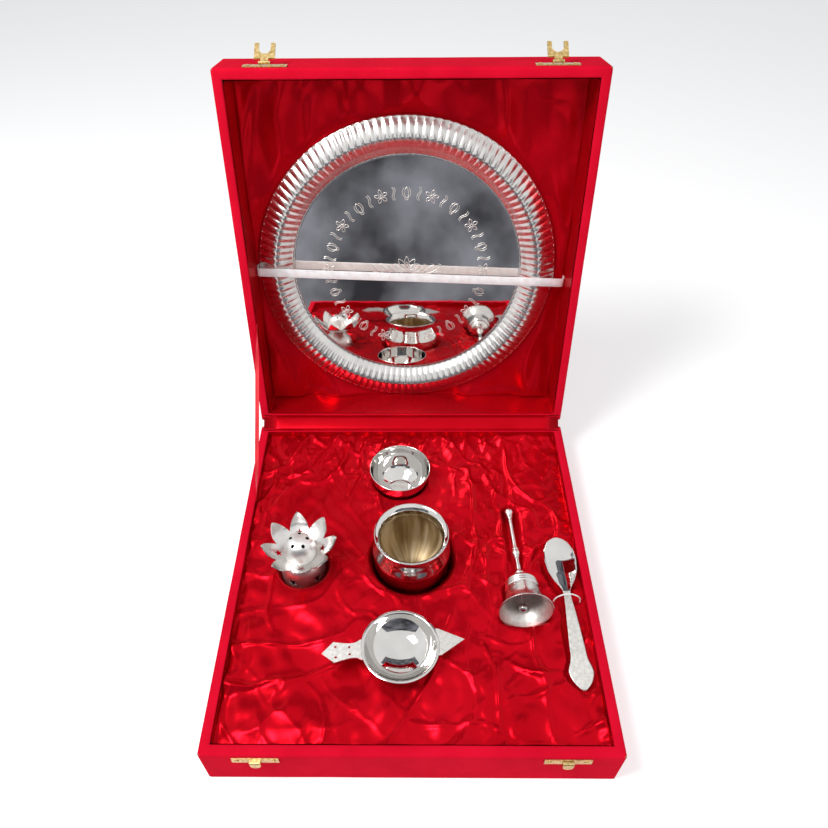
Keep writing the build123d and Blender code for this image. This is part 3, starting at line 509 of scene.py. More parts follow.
# %% [markdown]
# ## Satin, simulated
#
# The lining is one cloth laid loosely in a tray. It is a little too large for its place, and that surplus
# is what throws up the folds. A cloth solver does this well: the sheet starts from shallow seeded folds, is
# held at its border, grows by up to three per cent, and buckles up from the foam beneath it. `tight` says
# where it has no surplus. The solver works at ten times the real size, because it is tuned for garments and
# not for palm-sized folds.

# %% Cloth solver
SOLVER_SCALE = 10
TRIAL_HALF = 3  # half width of the solver's bed, wider than any sheet at that scale


def settled_cloth(points, faces, held, tight, growth, bending, frames):
    """Points of a sheet in mm after it has grown and settled on the flat bed below it."""
    solid = np.array(points, float) * MM * SOLVER_SCALE
    mesh = bpy.data.meshes.new("trial_sheet")
    mesh.from_pydata(solid.tolist(), [], [list(f) for f in faces])
    sheet = bpy.data.objects.new("trial_sheet", mesh)
    scene.collection.objects.link(sheet)
    sheet.vertex_groups.new(name="held").add([i for i, on in enumerate(held) if on], 1.0, "REPLACE")
    group = sheet.vertex_groups.new(name="tight")
    for i, weight in enumerate(tight):
        group.add([i], float(weight), "REPLACE")
    solver = sheet.modifiers.new("solver", "CLOTH")
    cloth = solver.settings
    cloth.quality, cloth.mass, cloth.air_damping = 5, 0.15, 2.0
    cloth.tension_stiffness = cloth.compression_stiffness = 12
    cloth.shear_stiffness, cloth.bending_stiffness = 4, bending
    cloth.vertex_group_mass, cloth.vertex_group_shrink = "held", "tight"
    cloth.shrink_min, cloth.shrink_max = -growth, 0.0
    solver.collision_settings.distance_min = 0.004
    solver.point_cache.frame_start, solver.point_cache.frame_end = 1, frames
    low = solid[:, 2].min() - 0.008
    bed = bpy.data.meshes.new("trial_bed")
    corners = [(x * TRIAL_HALF, y * TRIAL_HALF, low) for x, y in ((-1, -1), (1, -1), (1, 1), (-1, 1))]
    bed.from_pydata(corners, [], [(0, 1, 2, 3)])
    bed = bpy.data.objects.new("trial_bed", bed)
    scene.collection.objects.link(bed)
    bed.modifiers.new("stop", "COLLISION")
    bed.collision.thickness_outer = 0.004
    for step in range(1, frames + 1):
        scene.frame_set(step)
    shape = sheet.evaluated_get(bpy.context.evaluated_depsgraph_get()).data
    found = np.zeros(len(points) * 3, np.float32)
    shape.vertices.foreach_get("co", found)
    scene.frame_set(1)
    for trial in (sheet, bed):
        bpy.data.objects.remove(trial)
    return found.reshape(-1, 3).astype(float) / SOLVER_SCALE / MM


# %% [markdown]
# The sheet is cut like the paper lining of a box: a flat middle and four flaps that stand up on the walls.
# Where two flaps meet at a corner they share their points, so the cloth has no open seam. `crease` seeds
# long narrow folds.

# %% Unfolded sheet and seeded folds


def tray_sheet(half_w, half_d, rise, step):
    """Unfolded sheet for a tray: flat places, faces, and how far each point lies up a wall."""
    across, along = (
        np.concatenate([-half - rise[::-1], np.linspace(-half, half, round(2 * half / step) + 1), half + rise])
        for half in (half_w, half_d)
    )
    index, flat, faces = {}, [], []
    for j, v in enumerate(along):
        for i, u in enumerate(across):
            if abs(u) > half_w + 1e-6 and abs(v) > half_d + 1e-6:
                continue
            # The two wall edges that meet at a corner share their points
            corner = (round(max(abs(u) - half_w, abs(v) - half_d, 0), 4), u > 0, v > 0)
            on_corner = abs(u) >= half_w - 1e-6 and abs(v) >= half_d - 1e-6
            key = corner if on_corner else (i, j)
            if key not in index:
                index[key] = len(flat)
                flat.append((u, v))
            index[(i, j)] = index[key]
    for j in range(len(along) - 1):
        for i in range(len(across) - 1):
            square = [(i, j), (i + 1, j), (i + 1, j + 1), (i, j + 1)]
            if all(c in index for c in square):
                faces.append([index[c] for c in square])
    flat = np.array(flat)
    up = np.maximum(np.maximum(np.abs(flat[:, 0]) - half_w, np.abs(flat[:, 1]) - half_d), 0)
    spots = np.stack([np.clip(flat[:, 0], -half_w, half_w), np.clip(flat[:, 1], -half_d, half_d), up], 1)
    return flat, spots, faces, up


def ripple(x, y, scale, seed):
    """Seeded noise between about -1 and 1 at a place in mm."""
    return noise.noise((x / scale, y / scale, seed))


def crease(x, y, lean, wide, long, sharp, seed):
    """Height from 0 to 1 of long narrow folds that run along a leaning direction."""
    a = radians(lean)
    along, across = x * cos(a) + y * sin(a), y * cos(a) - x * sin(a)
    across += 9 * ripple(x, y, 48, seed + 20)
    level = abs(noise.noise((along / long, across / wide, seed)))
    return max(0.0, 1 - level / sharp) ** 1.6


# %% [markdown]
# ## What the satin lies under
#
# Each vessel presses its own shape into the bed. From the outlines we know how high a vessel's underside is
# at any distance from its axis; the satin has to stay a little below that. Taking the lower of the two
# heights makes the wells, and they are still there when a vessel is lifted out.

# %% Outlines of the turned vessels, in mm, from the axis outwards
BOWL_CURVE = smooth_line([(10, 0), (19.44, 5.94), (25.11, 15.66), (27, 27)], 14)
BOWL_OUTSIDE = np.vstack([[(0, 0), (6, 0)], BOWL_CURVE])
LOTA_BELLY = smooth_line([(15, 0), (27.26, 9.6), (31.22, 22.2), (31.7, 30), (31.7, 37.4)], 14)
LOTA_NECK = smooth_line([(31.1, 38.8), (28.2, 44.2), (25.9, 49.4), (26.6, 53.4), (30, 57.4)], 10)
LOTA_OUTSIDE = np.vstack([[(0, 0), (8, 0)], LOTA_BELLY, [(31.6, 37.8)], LOTA_NECK])
DIYA_CURVE = smooth_line([(9, 0), (18.7, 4.18), (24.75, 11.02), (27.5, 19)], 14)
DIYA_OUTSIDE = np.vstack([[(0, 0), (5, 0)], DIYA_CURVE])
FOOT_OUTSIDE = smooth_line([(18.5, 0), (18.22, 5.6), (17.39, 12.9), (14.8, 20.7), (8, 28)], 10)
bowl_at, lota_at, diya_at = middle_of("small_bowl"), middle_of("lota"), middle_of("diya_bowl")
stand_at = middle_of("incense_foot")
swing = joints["clapper_swing"]
BELL_DOWN = radians(8)
bell_turn = atan2(swing["axis"][1], swing["axis"][0]) - pi
BELL_AIM = Matrix.Rotation(bell_turn, 4, "Z") @ Matrix.Rotation(-pi / 2 - BELL_DOWN, 4, "X")
BELL_EYE = 27.75 * MM
BELL = Matrix.Translation(Vector(swing["pos_m"]) - BELL_AIM @ Vector((0, 0, BELL_EYE))) @ BELL_AIM
bell_mouth = BELL.translation
SPOON_X, SPOON_Y, SPOON_TURN = 0.1215, -0.001, radians(1.5)
SPOON_AT = Matrix.Translation((SPOON_X, SPOON_Y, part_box("spoon")[0].z))
SPOON = SPOON_AT @ Matrix.Rotation(SPOON_TURN, 4, "Z")
# Place along the spoon, bowl's middle at 0 and handle towards minus, and half width there
SPOON_FORM = np.array([
    (25, 0), (23.6, 4.5), (20, 8.6), (12, 12.3), (3, 12.9), (-8, 11.5), (-17, 7.8), (-23, 4.0), (-26, 2.7),
    (-32, 2.7), (-55, 4.5), (-72, 5.7), (-79, 5.9), (-84, 6.9), (-88, 8.8), (-92, 9.5), (-98, 7.2), (-102, 4.0),
    (-104.3, 1.2),
])
BED_TOP = 34.0
OPEN_SKY = 1e3  # a limit where nothing lies above the satin
SATIN_GAP = 0.9  # from a vessel's underside down to the satin
print("Bell mouth at", [round(v / MM, 1) for v in bell_mouth], "mm, bed at", BED_TOP, "mm")

# %% Heights below the vessels


def under_round(x, y, centre, outside, gap):
    """Height that stays below a turned vessel, in mm; high up where nothing is above."""
    away = hypot(x - centre.x / MM, y - centre.y / MM) - gap
    widest = outside[:, 0].argmax()
    if away >= outside[widest, 0]:
        return OPEN_SKY
    return centre.z / MM + np.interp(away, outside[: widest + 1, 0], outside[: widest + 1, 1]) - SATIN_GAP


def from_axis(x, y, centre):
    """Distance from an upright axis in mm, and how much the spot lies in front of it, 0 to 1."""
    dx, dy = x - centre.x / MM, y - centre.y / MM
    away = hypot(dx, dy)
    return away, max(0.0, (-dy + 0.35 * dx) / max(away, 1e-6)) if away else 0.0


def under_bell(x, y):
    """Height that stays below the lying bell and its handle, in mm."""
    dx, dy = x - bell_mouth.x / MM, y - bell_mouth.y / MM
    along = dx * -sin(bell_turn) + dy * cos(bell_turn)
    off = abs(dx * cos(bell_turn) + dy * sin(bell_turn))
    t = along / cos(BELL_DOWN)
    if -9 < t < 36:
        radius = np.interp(t, [-9, -2, 0, 4.3, 11.3, 27, 36], [6, 22.5, 23, 20.5, 17.5, 15.5, 8])
    elif 36 <= t < 113:
        radius = np.interp(t, [36, 106, 113], [6.5, 6.5, 1.0])
    else:
        return OPEN_SKY
    if off >= radius:
        return OPEN_SKY
    return bell_mouth.z / MM - t * sin(BELL_DOWN) - sqrt(radius**2 - off**2)


def spoon_half(t):
    """Half width of the spoon at a place along its length, in mm."""
    return float(np.interp(t, SPOON_FORM[::-1, 0], SPOON_FORM[::-1, 1]))


def bed_limit(x, y):
    """Highest place for the satin at a spot of the bed, in mm."""
    high = min(
        under_round(x, y, bowl_at, BOWL_OUTSIDE, 0.8),
        under_round(x, y, lota_at, LOTA_OUTSIDE[: len(LOTA_BELLY) + 2], 1.0),
        under_round(x, y, diya_at, DIYA_OUTSIDE, 0.8),
        under_bell(x, y),
    )
    away, front = from_axis(x, y, lota_at)
    high = min(high, np.interp(away, [0, 24, 31, 32.4, 34.2 + 4 * front, 60], [7.5, 7.6, 14, 27, 35, 60]))
    away, front = from_axis(x, y, stand_at)
    high = min(high, np.interp(away, [0, 18.9, 19.4, 20.6 + 2.5 * front, 50], [19.6, 19.6, 25, 35, 60]))
    local = SPOON.inverted() @ Vector((x * MM, y * MM, 0)) / MM
    if -108 < local.y < 28 and abs(local.x) < spoon_half(local.y) + 2.5:
        high = min(high, BED_TOP + 0.2)
    return high


print("Satin below the lota's middle:", bed_limit(lota_at.x / MM, lota_at.y / MM), "mm")

# %% [markdown]
# ## The satin of the base
#
# The sheet covers the bed and climbs a little way up the four walls. It could be sculpted by hand, but a
# seeded start that a solver then relaxes gives folds that lean on each other as real ones do. After that
# each point is lowered to the limit that the vessels set.

# %% Folds of the base's satin
SATIN_IN = 0.8  # from the lining's outer face to the drawn sheet
satin_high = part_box("base_satin_lining")[1]
HALF_W, HALF_D = satin_high.x / MM - SATIN_IN, satin_high.y / MM - SATIN_IN
SATIN_STEP = 2.0
base_rise = np.array([1.0, 2.5, 4.5, 6.2, 7.6])
flat, spots, faces, up = tray_sheet(HALF_W, HALF_D, base_rise, SATIN_STEP)
print("Base satin starts from", len(spots), "points")


def bed_folds(x, y):
    """Height in mm of the folds that the bed's satin starts from."""
    lean = 78 + 0.22 * x
    busy = np.clip(0.55 + 1.1 * ripple(x, y, 75, 1.7) + 0.35 * (hypot(x / 136, y / 146) - 0.6), 0.05, 1.2)
    big = 5.0 * crease(x, y, lean, 26, 75, 0.34, 3.1) * busy
    small = 2.3 * crease(x, y, lean + 38, 15, 34, 0.27, 8.4) * busy**1.5
    return big + small + 0.4 + 0.5 * ripple(x, y, 40, 5.5)


def bed_swell(x, y):
    """Height in mm of the soft waves that the loose satin keeps between its folds."""
    return 1.7 + 3.4 * ripple(x, 0.7 * y, 30, 14.5) + 2.0 * ripple(1.3 * x, y, 15, 17.2)


def bed_calm(x, y):
    """Share of the satin that has no surplus, most of it in the middle of the bed."""
    middle = max(0, 1 - hypot((x - 5) / 75, y / 80))
    return min(1, 0.20 + 0.5 * middle + 0.25 * ripple(x, y, 60, 11.0))


def seeded_start(flat, spots, up, folds):
    """Points that a lining starts from, and which of them are held at the border."""
    seeded = np.array([folds(x, y) for x, y, _ in spots])
    start = np.stack([spots[:, 0], spots[:, 1], np.where(up > 0, up, np.maximum(seeded, 0))], 1)
    return start, (np.abs(flat[:, 0]) >= HALF_W - 0.1) | (np.abs(flat[:, 1]) >= HALF_D - 0.1)


def on_wall(x, y, z, wave):
    """Spot of a lining that hangs on a wall, drawn in by its wave."""
    return np.clip(x, -HALF_W + wave, HALF_W - wave), np.clip(y, -HALF_D + wave, HALF_D - wave), z


# %% Base satin
start, border = seeded_start(flat, spots, up, bed_folds)
calm = np.array([bed_calm(x, y) for x, y, _ in spots])
settled = settled_cloth(start, faces, border, np.clip(calm, 0, 1), growth=0.03, bending=0.05, frames=16)
height = np.clip(settled[:, 2], -0.3, 7.0)
print("Satin folds up to", round(float(height.max()), 1), "mm, mean", round(float(height.mean()), 2))
shaped = settled.copy()
for k, (x, y, z) in enumerate(settled):
    if up[k] > 0:
        shaped[k] = on_wall(x, y, BED_TOP + up[k], 0.35 + 0.35 * ripple(x + y, z, 14, 2.0))
    else:
        edge = min(1, (HALF_W - abs(x)) / 12, (HALF_D - abs(y)) / 12)
        shaped[k, 2] = min(BED_TOP + height[k] + max(0, edge) * max(0, bed_swell(x, y)), bed_limit(x, y))
        shaped[k, :2] = np.clip((x, y), (-HALF_W, -HALF_D), (HALF_W, HALF_D))
corner_uv = [flat[i] * MM for f in faces for i in f]
base_satin = make_piece("base_satin", shaped, faces, [satin], uv=corner_uv)
finer = base_satin.modifiers.new("finer", "SUBSURF")
finer.levels = finer.render_levels = 1
settle(base_satin, "base", "satin", "base_satin_lining")

# %% [markdown]
# The foam under the cloth is one block with the same hollows, a little lower than the satin. A grid for the
# top and a skirt down to the bottom board close it. It is hidden, but an empty space under the cloth would
# show at the edges.

# %% Foam bed
foam_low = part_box("insert_bed")[0]
FOAM_TOP, FOAM_ROOM, FOAM_LEAST = BED_TOP - 2.2, 3.0, 0.3
FOAM_MARGIN = 5  # the foam keeps below the lowest satin within this distance
foam_x = np.linspace(-HALF_W, HALF_W, 69)
foam_y = np.linspace(-HALF_D, HALF_D, 75)
around = [(0, 0)]
around += [(FOAM_MARGIN * cos(a), FOAM_MARGIN * sin(a)) for a in np.linspace(0, tau, 8, endpoint=False)]
points = []
for y in foam_y:
    for x in foam_x:
        lowest = min(bed_limit(x + dx, y + dy) for dx, dy in around)
        points.append((x, y, max(min(FOAM_TOP, lowest - FOAM_ROOM), foam_low.z / MM + FOAM_LEAST)))
wide, long = len(foam_x), len(foam_y)
faces = [
    (j * wide + i, j * wide + i + 1, (j + 1) * wide + i + 1, (j + 1) * wide + i)
    for j in range(long - 1)
    for i in range(wide - 1)
]
edge = list(range(wide)) + [j * wide + wide - 1 for j in range(1, long)]
edge += [(long - 1) * wide + i for i in range(wide - 2, -1, -1)] + [j * wide for j in range(long - 2, 0, -1)]
first = len(points)
points += [(points[k][0], points[k][1], foam_low.z / MM) for k in edge]
for k in range(len(edge)):
    n = (k + 1) % len(edge)
    faces.append((edge[k], first + k, first + n, edge[n]))
faces.append([first + k for k in range(len(edge) - 1, -1, -1)])
foam_bed = make_piece("foam_bed", points, faces, [foam], smooth=False)
settle(foam_bed, "base", "foam", "insert_bed")

# %% [markdown]
# ## The satin of the lid
#
# The lid's lining is made the same way in the lid's own frame. It is drawn tighter and has long upright
# folds. Under the thali it lies flat, and it rises where there is room beside the rim.

# %% Lid satin
LID_STEP = 3.0
LID_BED = box_in("lid_satin_lining", LID)[0].z / MM + SATIN_IN
lid_rise = np.array([1.5, 4, 8, 13, 18, 23, 28, 32, 35, 36.8])
flat, spots, faces, up = tray_sheet(HALF_W, HALF_D, lid_rise, LID_STEP)


def lid_folds(x, y):
    """Height in mm of the long upright folds of the lid's satin."""
    broad = 10 * ripple(1.5 * x, 0.3 * y, 40, 5.3) + 4 * ripple(1.4 * x, 0.5 * y, 19, 7.7)
    return 4.5 + broad + 3.0 * crease(x, y, 86, 70, 260, 0.42, 6.1)


start, border = seeded_start(flat, spots, up, lid_folds)
thali_low, thali_high = box_in("thali_plate", LID)
thali_mid = (thali_low + thali_high) / 2 / MM
thali_r = (thali_high.x - thali_low.x) / 2 / MM
even = np.full(len(start), 0.1)
settled = settled_cloth(start, faces, border, even, growth=0.008, bending=2.0, frames=12)
shaped = settled.copy()
for k, (x, y, z) in enumerate(settled):
    if up[k] > 0:
        shaped[k] = on_wall(x, y, LID_BED + up[k], 0.5 + 0.5 * ripple(x + y, z, 30, 4.0))
    else:
        away = hypot(x - thali_mid.x, y - thali_mid.y) - thali_r
        room = np.interp(away, [-6, 0, 6, 14], [0.1, 1.0, 4.0, 9.0])
        fold = np.clip(0.5 * (z + lid_folds(x, y)), -0.2, room)
        shaped[k] = on_wall(x, y, LID_BED + fold, 0)
corner_uv = [flat[i] * MM for f in faces for i in f]
lid_satin = make_piece("lid_satin", shaped, faces, [satin], LID, corner_uv)
finer = lid_satin.modifiers.new("finer", "SUBSURF")
finer.levels = finer.render_levels = 1
settle(lid_satin, "lid", "satin", "lid_satin_lining")

# %% [markdown]
# ## Velvet over the boards
#
# The velvet is stretched over the outside of each half, round its edges and over the rim, down to the
# satin. It can be drawn as a stack of rounded rectangles, one after the other, like lofting a picture
# frame. A little seeded waviness, always inwards, keeps the long edges from looking machined.

# %% Ring and shell helpers


def rounded_ring(half_w, half_d, radius, z, per_side=36, per_corner=8):
    """Closed ring of points round a rectangle with round corners, in mm."""
    corners = [(1, 1), (-1, 1), (-1, -1), (1, -1)]

    def on_corner(corner, a):
        cx, cy = corner
        return np.array((cx * (half_w - radius) + radius * cos(a), cy * (half_d - radius) + radius * sin(a), z))

    found = []
    for quarter, corner in enumerate(corners):
        found += [on_corner(corner, radians(90 * quarter + 90 * k / per_corner)) for k in range(per_corner + 1)]
        start, end = found[-1], on_corner(corners[(quarter + 1) % 4], radians(90 * quarter + 90))
        found += [start + (end - start) * k / per_side for k in range(1, per_side)]
    return np.array(found)


def velvet_shell(name, place, half_w, half_d, high, close_panel):
    """Velvet of one half case: rim, outside faces and, for the lid, the outer panel."""
    inset = half_w - HALF_W
    # Each step: how far inside the outer face, and how high
    path = [
        (inset - 0.3, high - 1.6), (inset - 0.35, high - 0.55), (inset - 0.9, high - 0.12), (inset - 2.0, high),
        (inset * 0.55, high - 0.03), (2.6, high - 0.02), (1.2, high - 0.3), (0.4, high - 1.0), (0.08, high - 2.2),
        *[(0.05, high * share) for share in (0.85, 0.7, 0.55, 0.4, 0.25, 0.12)],
        (0.06, 1.6), (0.3, 0.7), (0.9, 0.15), (2.2, 0.05), (5.0, 0.05),
    ]
    rings = []
    for away, z in path:
        corner = max(0.6, 2.2 - away * 0.2)
        ring = rounded_ring(half_w - away, half_d - away, corner, z)
        for p in ring:
            sag = 0.12 + 0.12 * ripple(p[0] + p[2], p[1] - p[2], 40, 9.0)
            p[0] -= sag * np.sign(p[0])
            p[1] -= sag * np.sign(p[1])
        rings.append(ring)
    count = len(rings[0])
    if close_panel:
        rings += [rings[-1] * (share, share, 1) for share in (0.75, 0.5, 0.25)]
    points = np.vstack(rings)
    faces = ring_faces(len(rings), count, flip=True)
    if close_panel:
        centre, last = len(points), (len(rings) - 1) * count
        points = np.vstack([points, [(0, 0, points[-1][2])]])
        faces += [(last + j, centre, last + (j + 1) % count) for j in range(count)]
    corner_uv = [(points[i][0] * MM, (points[i][1] + points[i][2]) * MM) for f in faces for i in f]
    return make_piece(name, points, faces, [velvet], place, corner_uv)


# %% Velvet covers
velvet_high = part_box("base_velvet_cover")[1]
OUT_W, OUT_D, BASE_H = velvet_high.x / MM, velvet_high.y / MM, velvet_high.z / MM
base_velvet = velvet_shell("base_velvet", Matrix(), OUT_W, OUT_D, BASE_H, False)
settle(base_velvet, "base", "velvet", "base_velvet_cover")
lid_velvet = velvet_shell("lid_velvet", LID, OUT_W, OUT_D, lid_high.z / MM, True)
settle(lid_velvet, "lid", "velvet", "lid_velvet_cover")

# %% [markdown]
# ## Geometry Nodes for lines and rings
#
# Two small node groups do all the ornament. `tube` thickens drawn lines into round wire, which reads as an
# engraved or raised stroke. `ring` sets out copies of one shape round a circle, each turned to face
# outwards.

# %% Group helpers


def node_group(name, inputs):
    """Empty geometry group with named inputs after the geometry."""
    tree = bpy.data.node_groups.new(name, "GeometryNodeTree")
    tree.interface.new_socket("Geometry", in_out="INPUT", socket_type="NodeSocketGeometry")
    for label, kind in inputs:
        tree.interface.new_socket(label, in_out="INPUT", socket_type=kind)
    tree.interface.new_socket("Geometry", in_out="OUTPUT", socket_type="NodeSocketGeometry")
    return tree, add(tree, "NodeGroupInput").outputs


def close_group(tree, geometry, material):
    """Realize, paint and hand out what a group has made."""
    real = add(tree, "GeometryNodeRealizeInstances", {"Geometry": geometry})
    shaded = add(tree, "GeometryNodeSetShadeSmooth", {"Geometry": real.outputs[0]})
    painted = add(tree, "GeometryNodeSetMaterial", {"Geometry": shaded.outputs[0], "Material": material})
    add(tree, "NodeGroupOutput", {"Geometry": painted.outputs[0]})


# %% Tube
tube, given = node_group(
    "tube", [("Radius", "NodeSocketFloat"), ("Sides", "NodeSocketInt"), ("Material", "NodeSocketMaterial")]
)
line = add(tube, "GeometryNodeMeshToCurve", {"Mesh": given["Geometry"]})
section = add(
    tube, "GeometryNodeCurvePrimitiveCircle", {"Resolution": given["Sides"], "Radius": given["Radius"]}
)
wire = add(
    tube,
    "GeometryNodeCurveToMesh",
    {"Curve": line.outputs[0], "Profile Curve": section.outputs[0], "Fill Caps": True},
)
close_group(tube, wire.outputs[0], given["Material"])
print("Node group", tube.name, "with", len(tube.nodes), "nodes")

# %% Ring
ring, given = node_group(
    "ring",
    [
        ("Count", "NodeSocketInt"),
        ("Radius", "NodeSocketFloat"),
        ("First", "NodeSocketFloat"),
        ("Material", "NodeSocketMaterial"),
    ],
)
step = add(ring, "ShaderNodeMath", {0: tau, 1: given["Count"]}, operation="DIVIDE")
number = add(ring, "GeometryNodeInputIndex")
angle = add(
    ring,
    "ShaderNodeMath",
    {0: number.outputs[0], 1: step.outputs[0], 2: given["First"]},
    operation="MULTIPLY_ADD",
)
turn = add(ring, "ShaderNodeCombineXYZ", {"Z": angle.outputs[0]})
aimed = add(ring, "FunctionNodeEulerToRotation", {"Euler": turn.outputs[0]})
reach = add(ring, "ShaderNodeCombineXYZ", {"X": given["Radius"]})
placed = add(ring, "FunctionNodeRotateVector", {"Vector": reach.outputs[0], "Rotation": aimed.outputs[0]})
marks = add(ring, "GeometryNodePoints", {"Count": given["Count"], "Position": placed.outputs[0]})
copies = add(
    ring,
    "GeometryNodeInstanceOnPoints",
    {"Points": marks.outputs[0], "Instance": given["Geometry"], "Rotation": aimed.outputs[0]},
)
close_group(ring, copies.outputs[0], given["Material"])
print("Node group", ring.name, "with", len(ring.nodes), "nodes")

# %% Running a group


def through(group, seed, **inputs):
    """Runs a mesh through a node group and returns the result as a plain mesh."""
    carrier = bpy.data.objects.new("carrier", seed)
    scene.collection.objects.link(carrier)
    run = carrier.modifiers.new("run", "NODES")
    run.node_group = group
    for socket in group.interface.items_tree:
        if socket.item_type == "SOCKET" and socket.in_out == "INPUT" and socket.name in inputs:
            run[socket.identifier] = inputs[socket.name]
    carrier.update_tag()
    bpy.context.view_layer.update()
    graph = bpy.context.evaluated_depsgraph_get()
    found = bpy.data.meshes.new_from_object(
        carrier.evaluated_get(graph), preserve_all_data_layers=True, depsgraph=graph
    )
    bpy.data.objects.remove(carrier)
    return found


def drawn(lines):
    """Mesh of open lines, each a list of points in mm."""
    points, edges = [], []
    for each in lines:
        first = len(points)
        points += [tuple(np.array(p, float) * MM) for p in each]
        edges += [(first + k, first + k + 1) for k in range(len(each) - 1)]
    mesh = bpy.data.meshes.new("lines")
    mesh.from_pydata(points, edges, [])
    return mesh


def as_piece(name, mesh, place=Matrix()):
    """Object at the origin from a finished mesh, its place in the points."""
    mesh.name = name
    mesh.transform(place)
    made = bpy.data.objects.new(name, mesh)
    scene.collection.objects.link(made)
    return made


# %% [markdown]
# ## Thali
#
# The plate is stamped from one sheet: a flat mirror, a fluted wall that rises to a ridge, and a fluted
# flange that falls to a beaded edge. Its height is written as a function of radius and angle. The flutes
# fade out towards the flat, so the mirror stays true. A polar grid follows that function exactly.

# %% Thali plate
FLUTES = 120
PLATE = LID @ Matrix.Translation(Vector((thali_mid.x, thali_mid.y, thali_low.z / MM)) * MM)
FLAT_R, RIDGE_R, SHEET = thali_r - 31.5, thali_r - 16.5, 0.9
flat_rings = [20, 45, 70, 85, FLAT_R - 3, FLAT_R - 0.6]
rim_line = smooth_line([
    (FLAT_R, SHEET), (FLAT_R + 2.2, 1.5), (FLAT_R + 8, 6.4),
    (RIDGE_R, 9.9), (RIDGE_R + 7, 8.1), (thali_r - 1.4, 3.3),
], 10)
plate_r = np.concatenate([flat_rings, rim_line[:, 0], [thali_r - 0.5, thali_r - 0.1, thali_r - 0.4]])
plate_z = np.concatenate([[SHEET] * len(flat_rings), rim_line[:, 1], [2.9, 2.2, 1.4]])
FLUTE_DEPTH = np.array([
    (FLAT_R + 0.5, 0), (FLAT_R + 3, 0.35), (FLAT_R + 10, 0.75), (RIDGE_R - 1.5, 0.55), (RIDGE_R, 0.35),
    (RIDGE_R + 3, 0.95), (thali_r - 5, 1.05), (thali_r - 1.8, 0.6), (thali_r - 1, 0.2),
])
AROUND = 960
UNDERSIDE = 0.02
turns = np.arange(AROUND) * tau / AROUND
rib = np.abs(np.sin(turns * FLUTES / 2)) - 1
points = [(0, 0, SHEET)]
for r, z in zip(plate_r, plate_z):
    heights = z + np.interp(r, *FLUTE_DEPTH.T) * rib
    points += [(r * cos(a), r * sin(a), h) for a, h in zip(turns, heights)]
under_r = np.concatenate([[thali_r - 1.6], rim_line[::-5, 0][1:], [FLAT_R - 1, 60]])
under_z = np.concatenate([[1.0], rim_line[::-5, 1][1:] - 1.55, [UNDERSIDE, UNDERSIDE]])
for r, z in zip(under_r, under_z):
    points += [(r * cos(a), r * sin(a), max(z, UNDERSIDE)) for a in turns]
points.append((0, 0, UNDERSIDE))
rows = len(plate_r) + len(under_r)
faces = [(0, 1 + j, 1 + (j + 1) % AROUND) for j in range(AROUND)]
faces += ring_faces(rows, AROUND, first=1, flip=True)
last = 1 + (rows - 1) * AROUND
faces += [(len(points) - 1, last + (j + 1) % AROUND, last + j) for j in range(AROUND)]
on_flat = [int(k < len(flat_rings) * AROUND) for k in range(len(faces))]
thali = make_piece("thali", points, faces, [silver_soft, silver_mirror], PLATE, by_face=on_flat)
settle(thali, "thali", "silver_plate", "thali_plate")

# %% [markdown]
# ## Ornament on the thali
#
# A ring of twenty small figures runs round the mirror, rosettes and lotus buds by turns, with a wavy double
# line between neighbours, and a lotus with leaf scrolls on both sides sits in the middle. Each figure is
# drawn once as lines, given body by `tube` and set out by `ring`. Round beads end the flutes at the plate's
# edge.

# %% Strokes on the plate
FIGURES = 20
FIGURE_R = 0.0685
STROKE = 0.00032
LEVEL = 0.95


def arc(cx, cy, radius, first, last, steps=16):
    """Part of a circle on the plate's flat."""
    angles = np.radians(np.linspace(first, last, steps))
    return [(cx + radius * cos(a), cy + radius * sin(a), LEVEL) for a in angles]


def petal(length, width, turn, start=0.0):
    """Pointed leaf outline from a start distance, in mm."""
    half = [(start + length * t, width / 2 * sin(pi * t) ** 0.8, LEVEL) for t in np.linspace(0, 1, 11)]
    both = half + [(x, -y, z) for x, y, z in reversed(half)]
    a = radians(turn)
    return [(x * cos(a) - y * sin(a), x * sin(a) + y * cos(a), z) for x, y, z in both]


# %% Ring of figures
rosette = [petal(4.6, 2.6, 72 * k, 1.3) for k in range(5)] + [arc(0, 0, 1.0, 0, 360)]
sepal = smooth_line([(0, 0.4), (2.5, 3.0), (6, 3.4), (8.6, 2.2)], 6)
bud = [petal(9.5, 3.6, 0, -4.8), arc(-4.6, 0, 1.5, 90, 270)]
bud += [[(x - 4.6, side * y, LEVEL) for x, y in sepal] for side in (-1, 1)]
wave_x = np.linspace(-5.5, 5.5, 25)
waves = [[(x, off + 0.9 * sin(tau * (x + 5.5) / 11), LEVEL) for x in wave_x] for off in (-0.75, 0.75)]
# For each ring: the lines of one figure, how many there are, and where the first one stands
RINGS = {
    "rosettes": (rosette, FIGURES // 2, 0),
    "buds": (bud, FIGURES // 2, tau / FIGURES),
    "waves": (waves, FIGURES, tau / FIGURES / 2),
}
ornament = []
for label, (lines, count, first) in RINGS.items():
    stroke = through(tube, drawn(lines), Radius=STROKE, Sides=6, Material=silver_matte)
    made = through(ring, stroke, Count=count, Radius=FIGURE_R, First=first, Material=silver_matte)
    ornament.append(as_piece(f"thali_{label}", made, PLATE))
print("Ring:", [piece.name for piece in ornament])

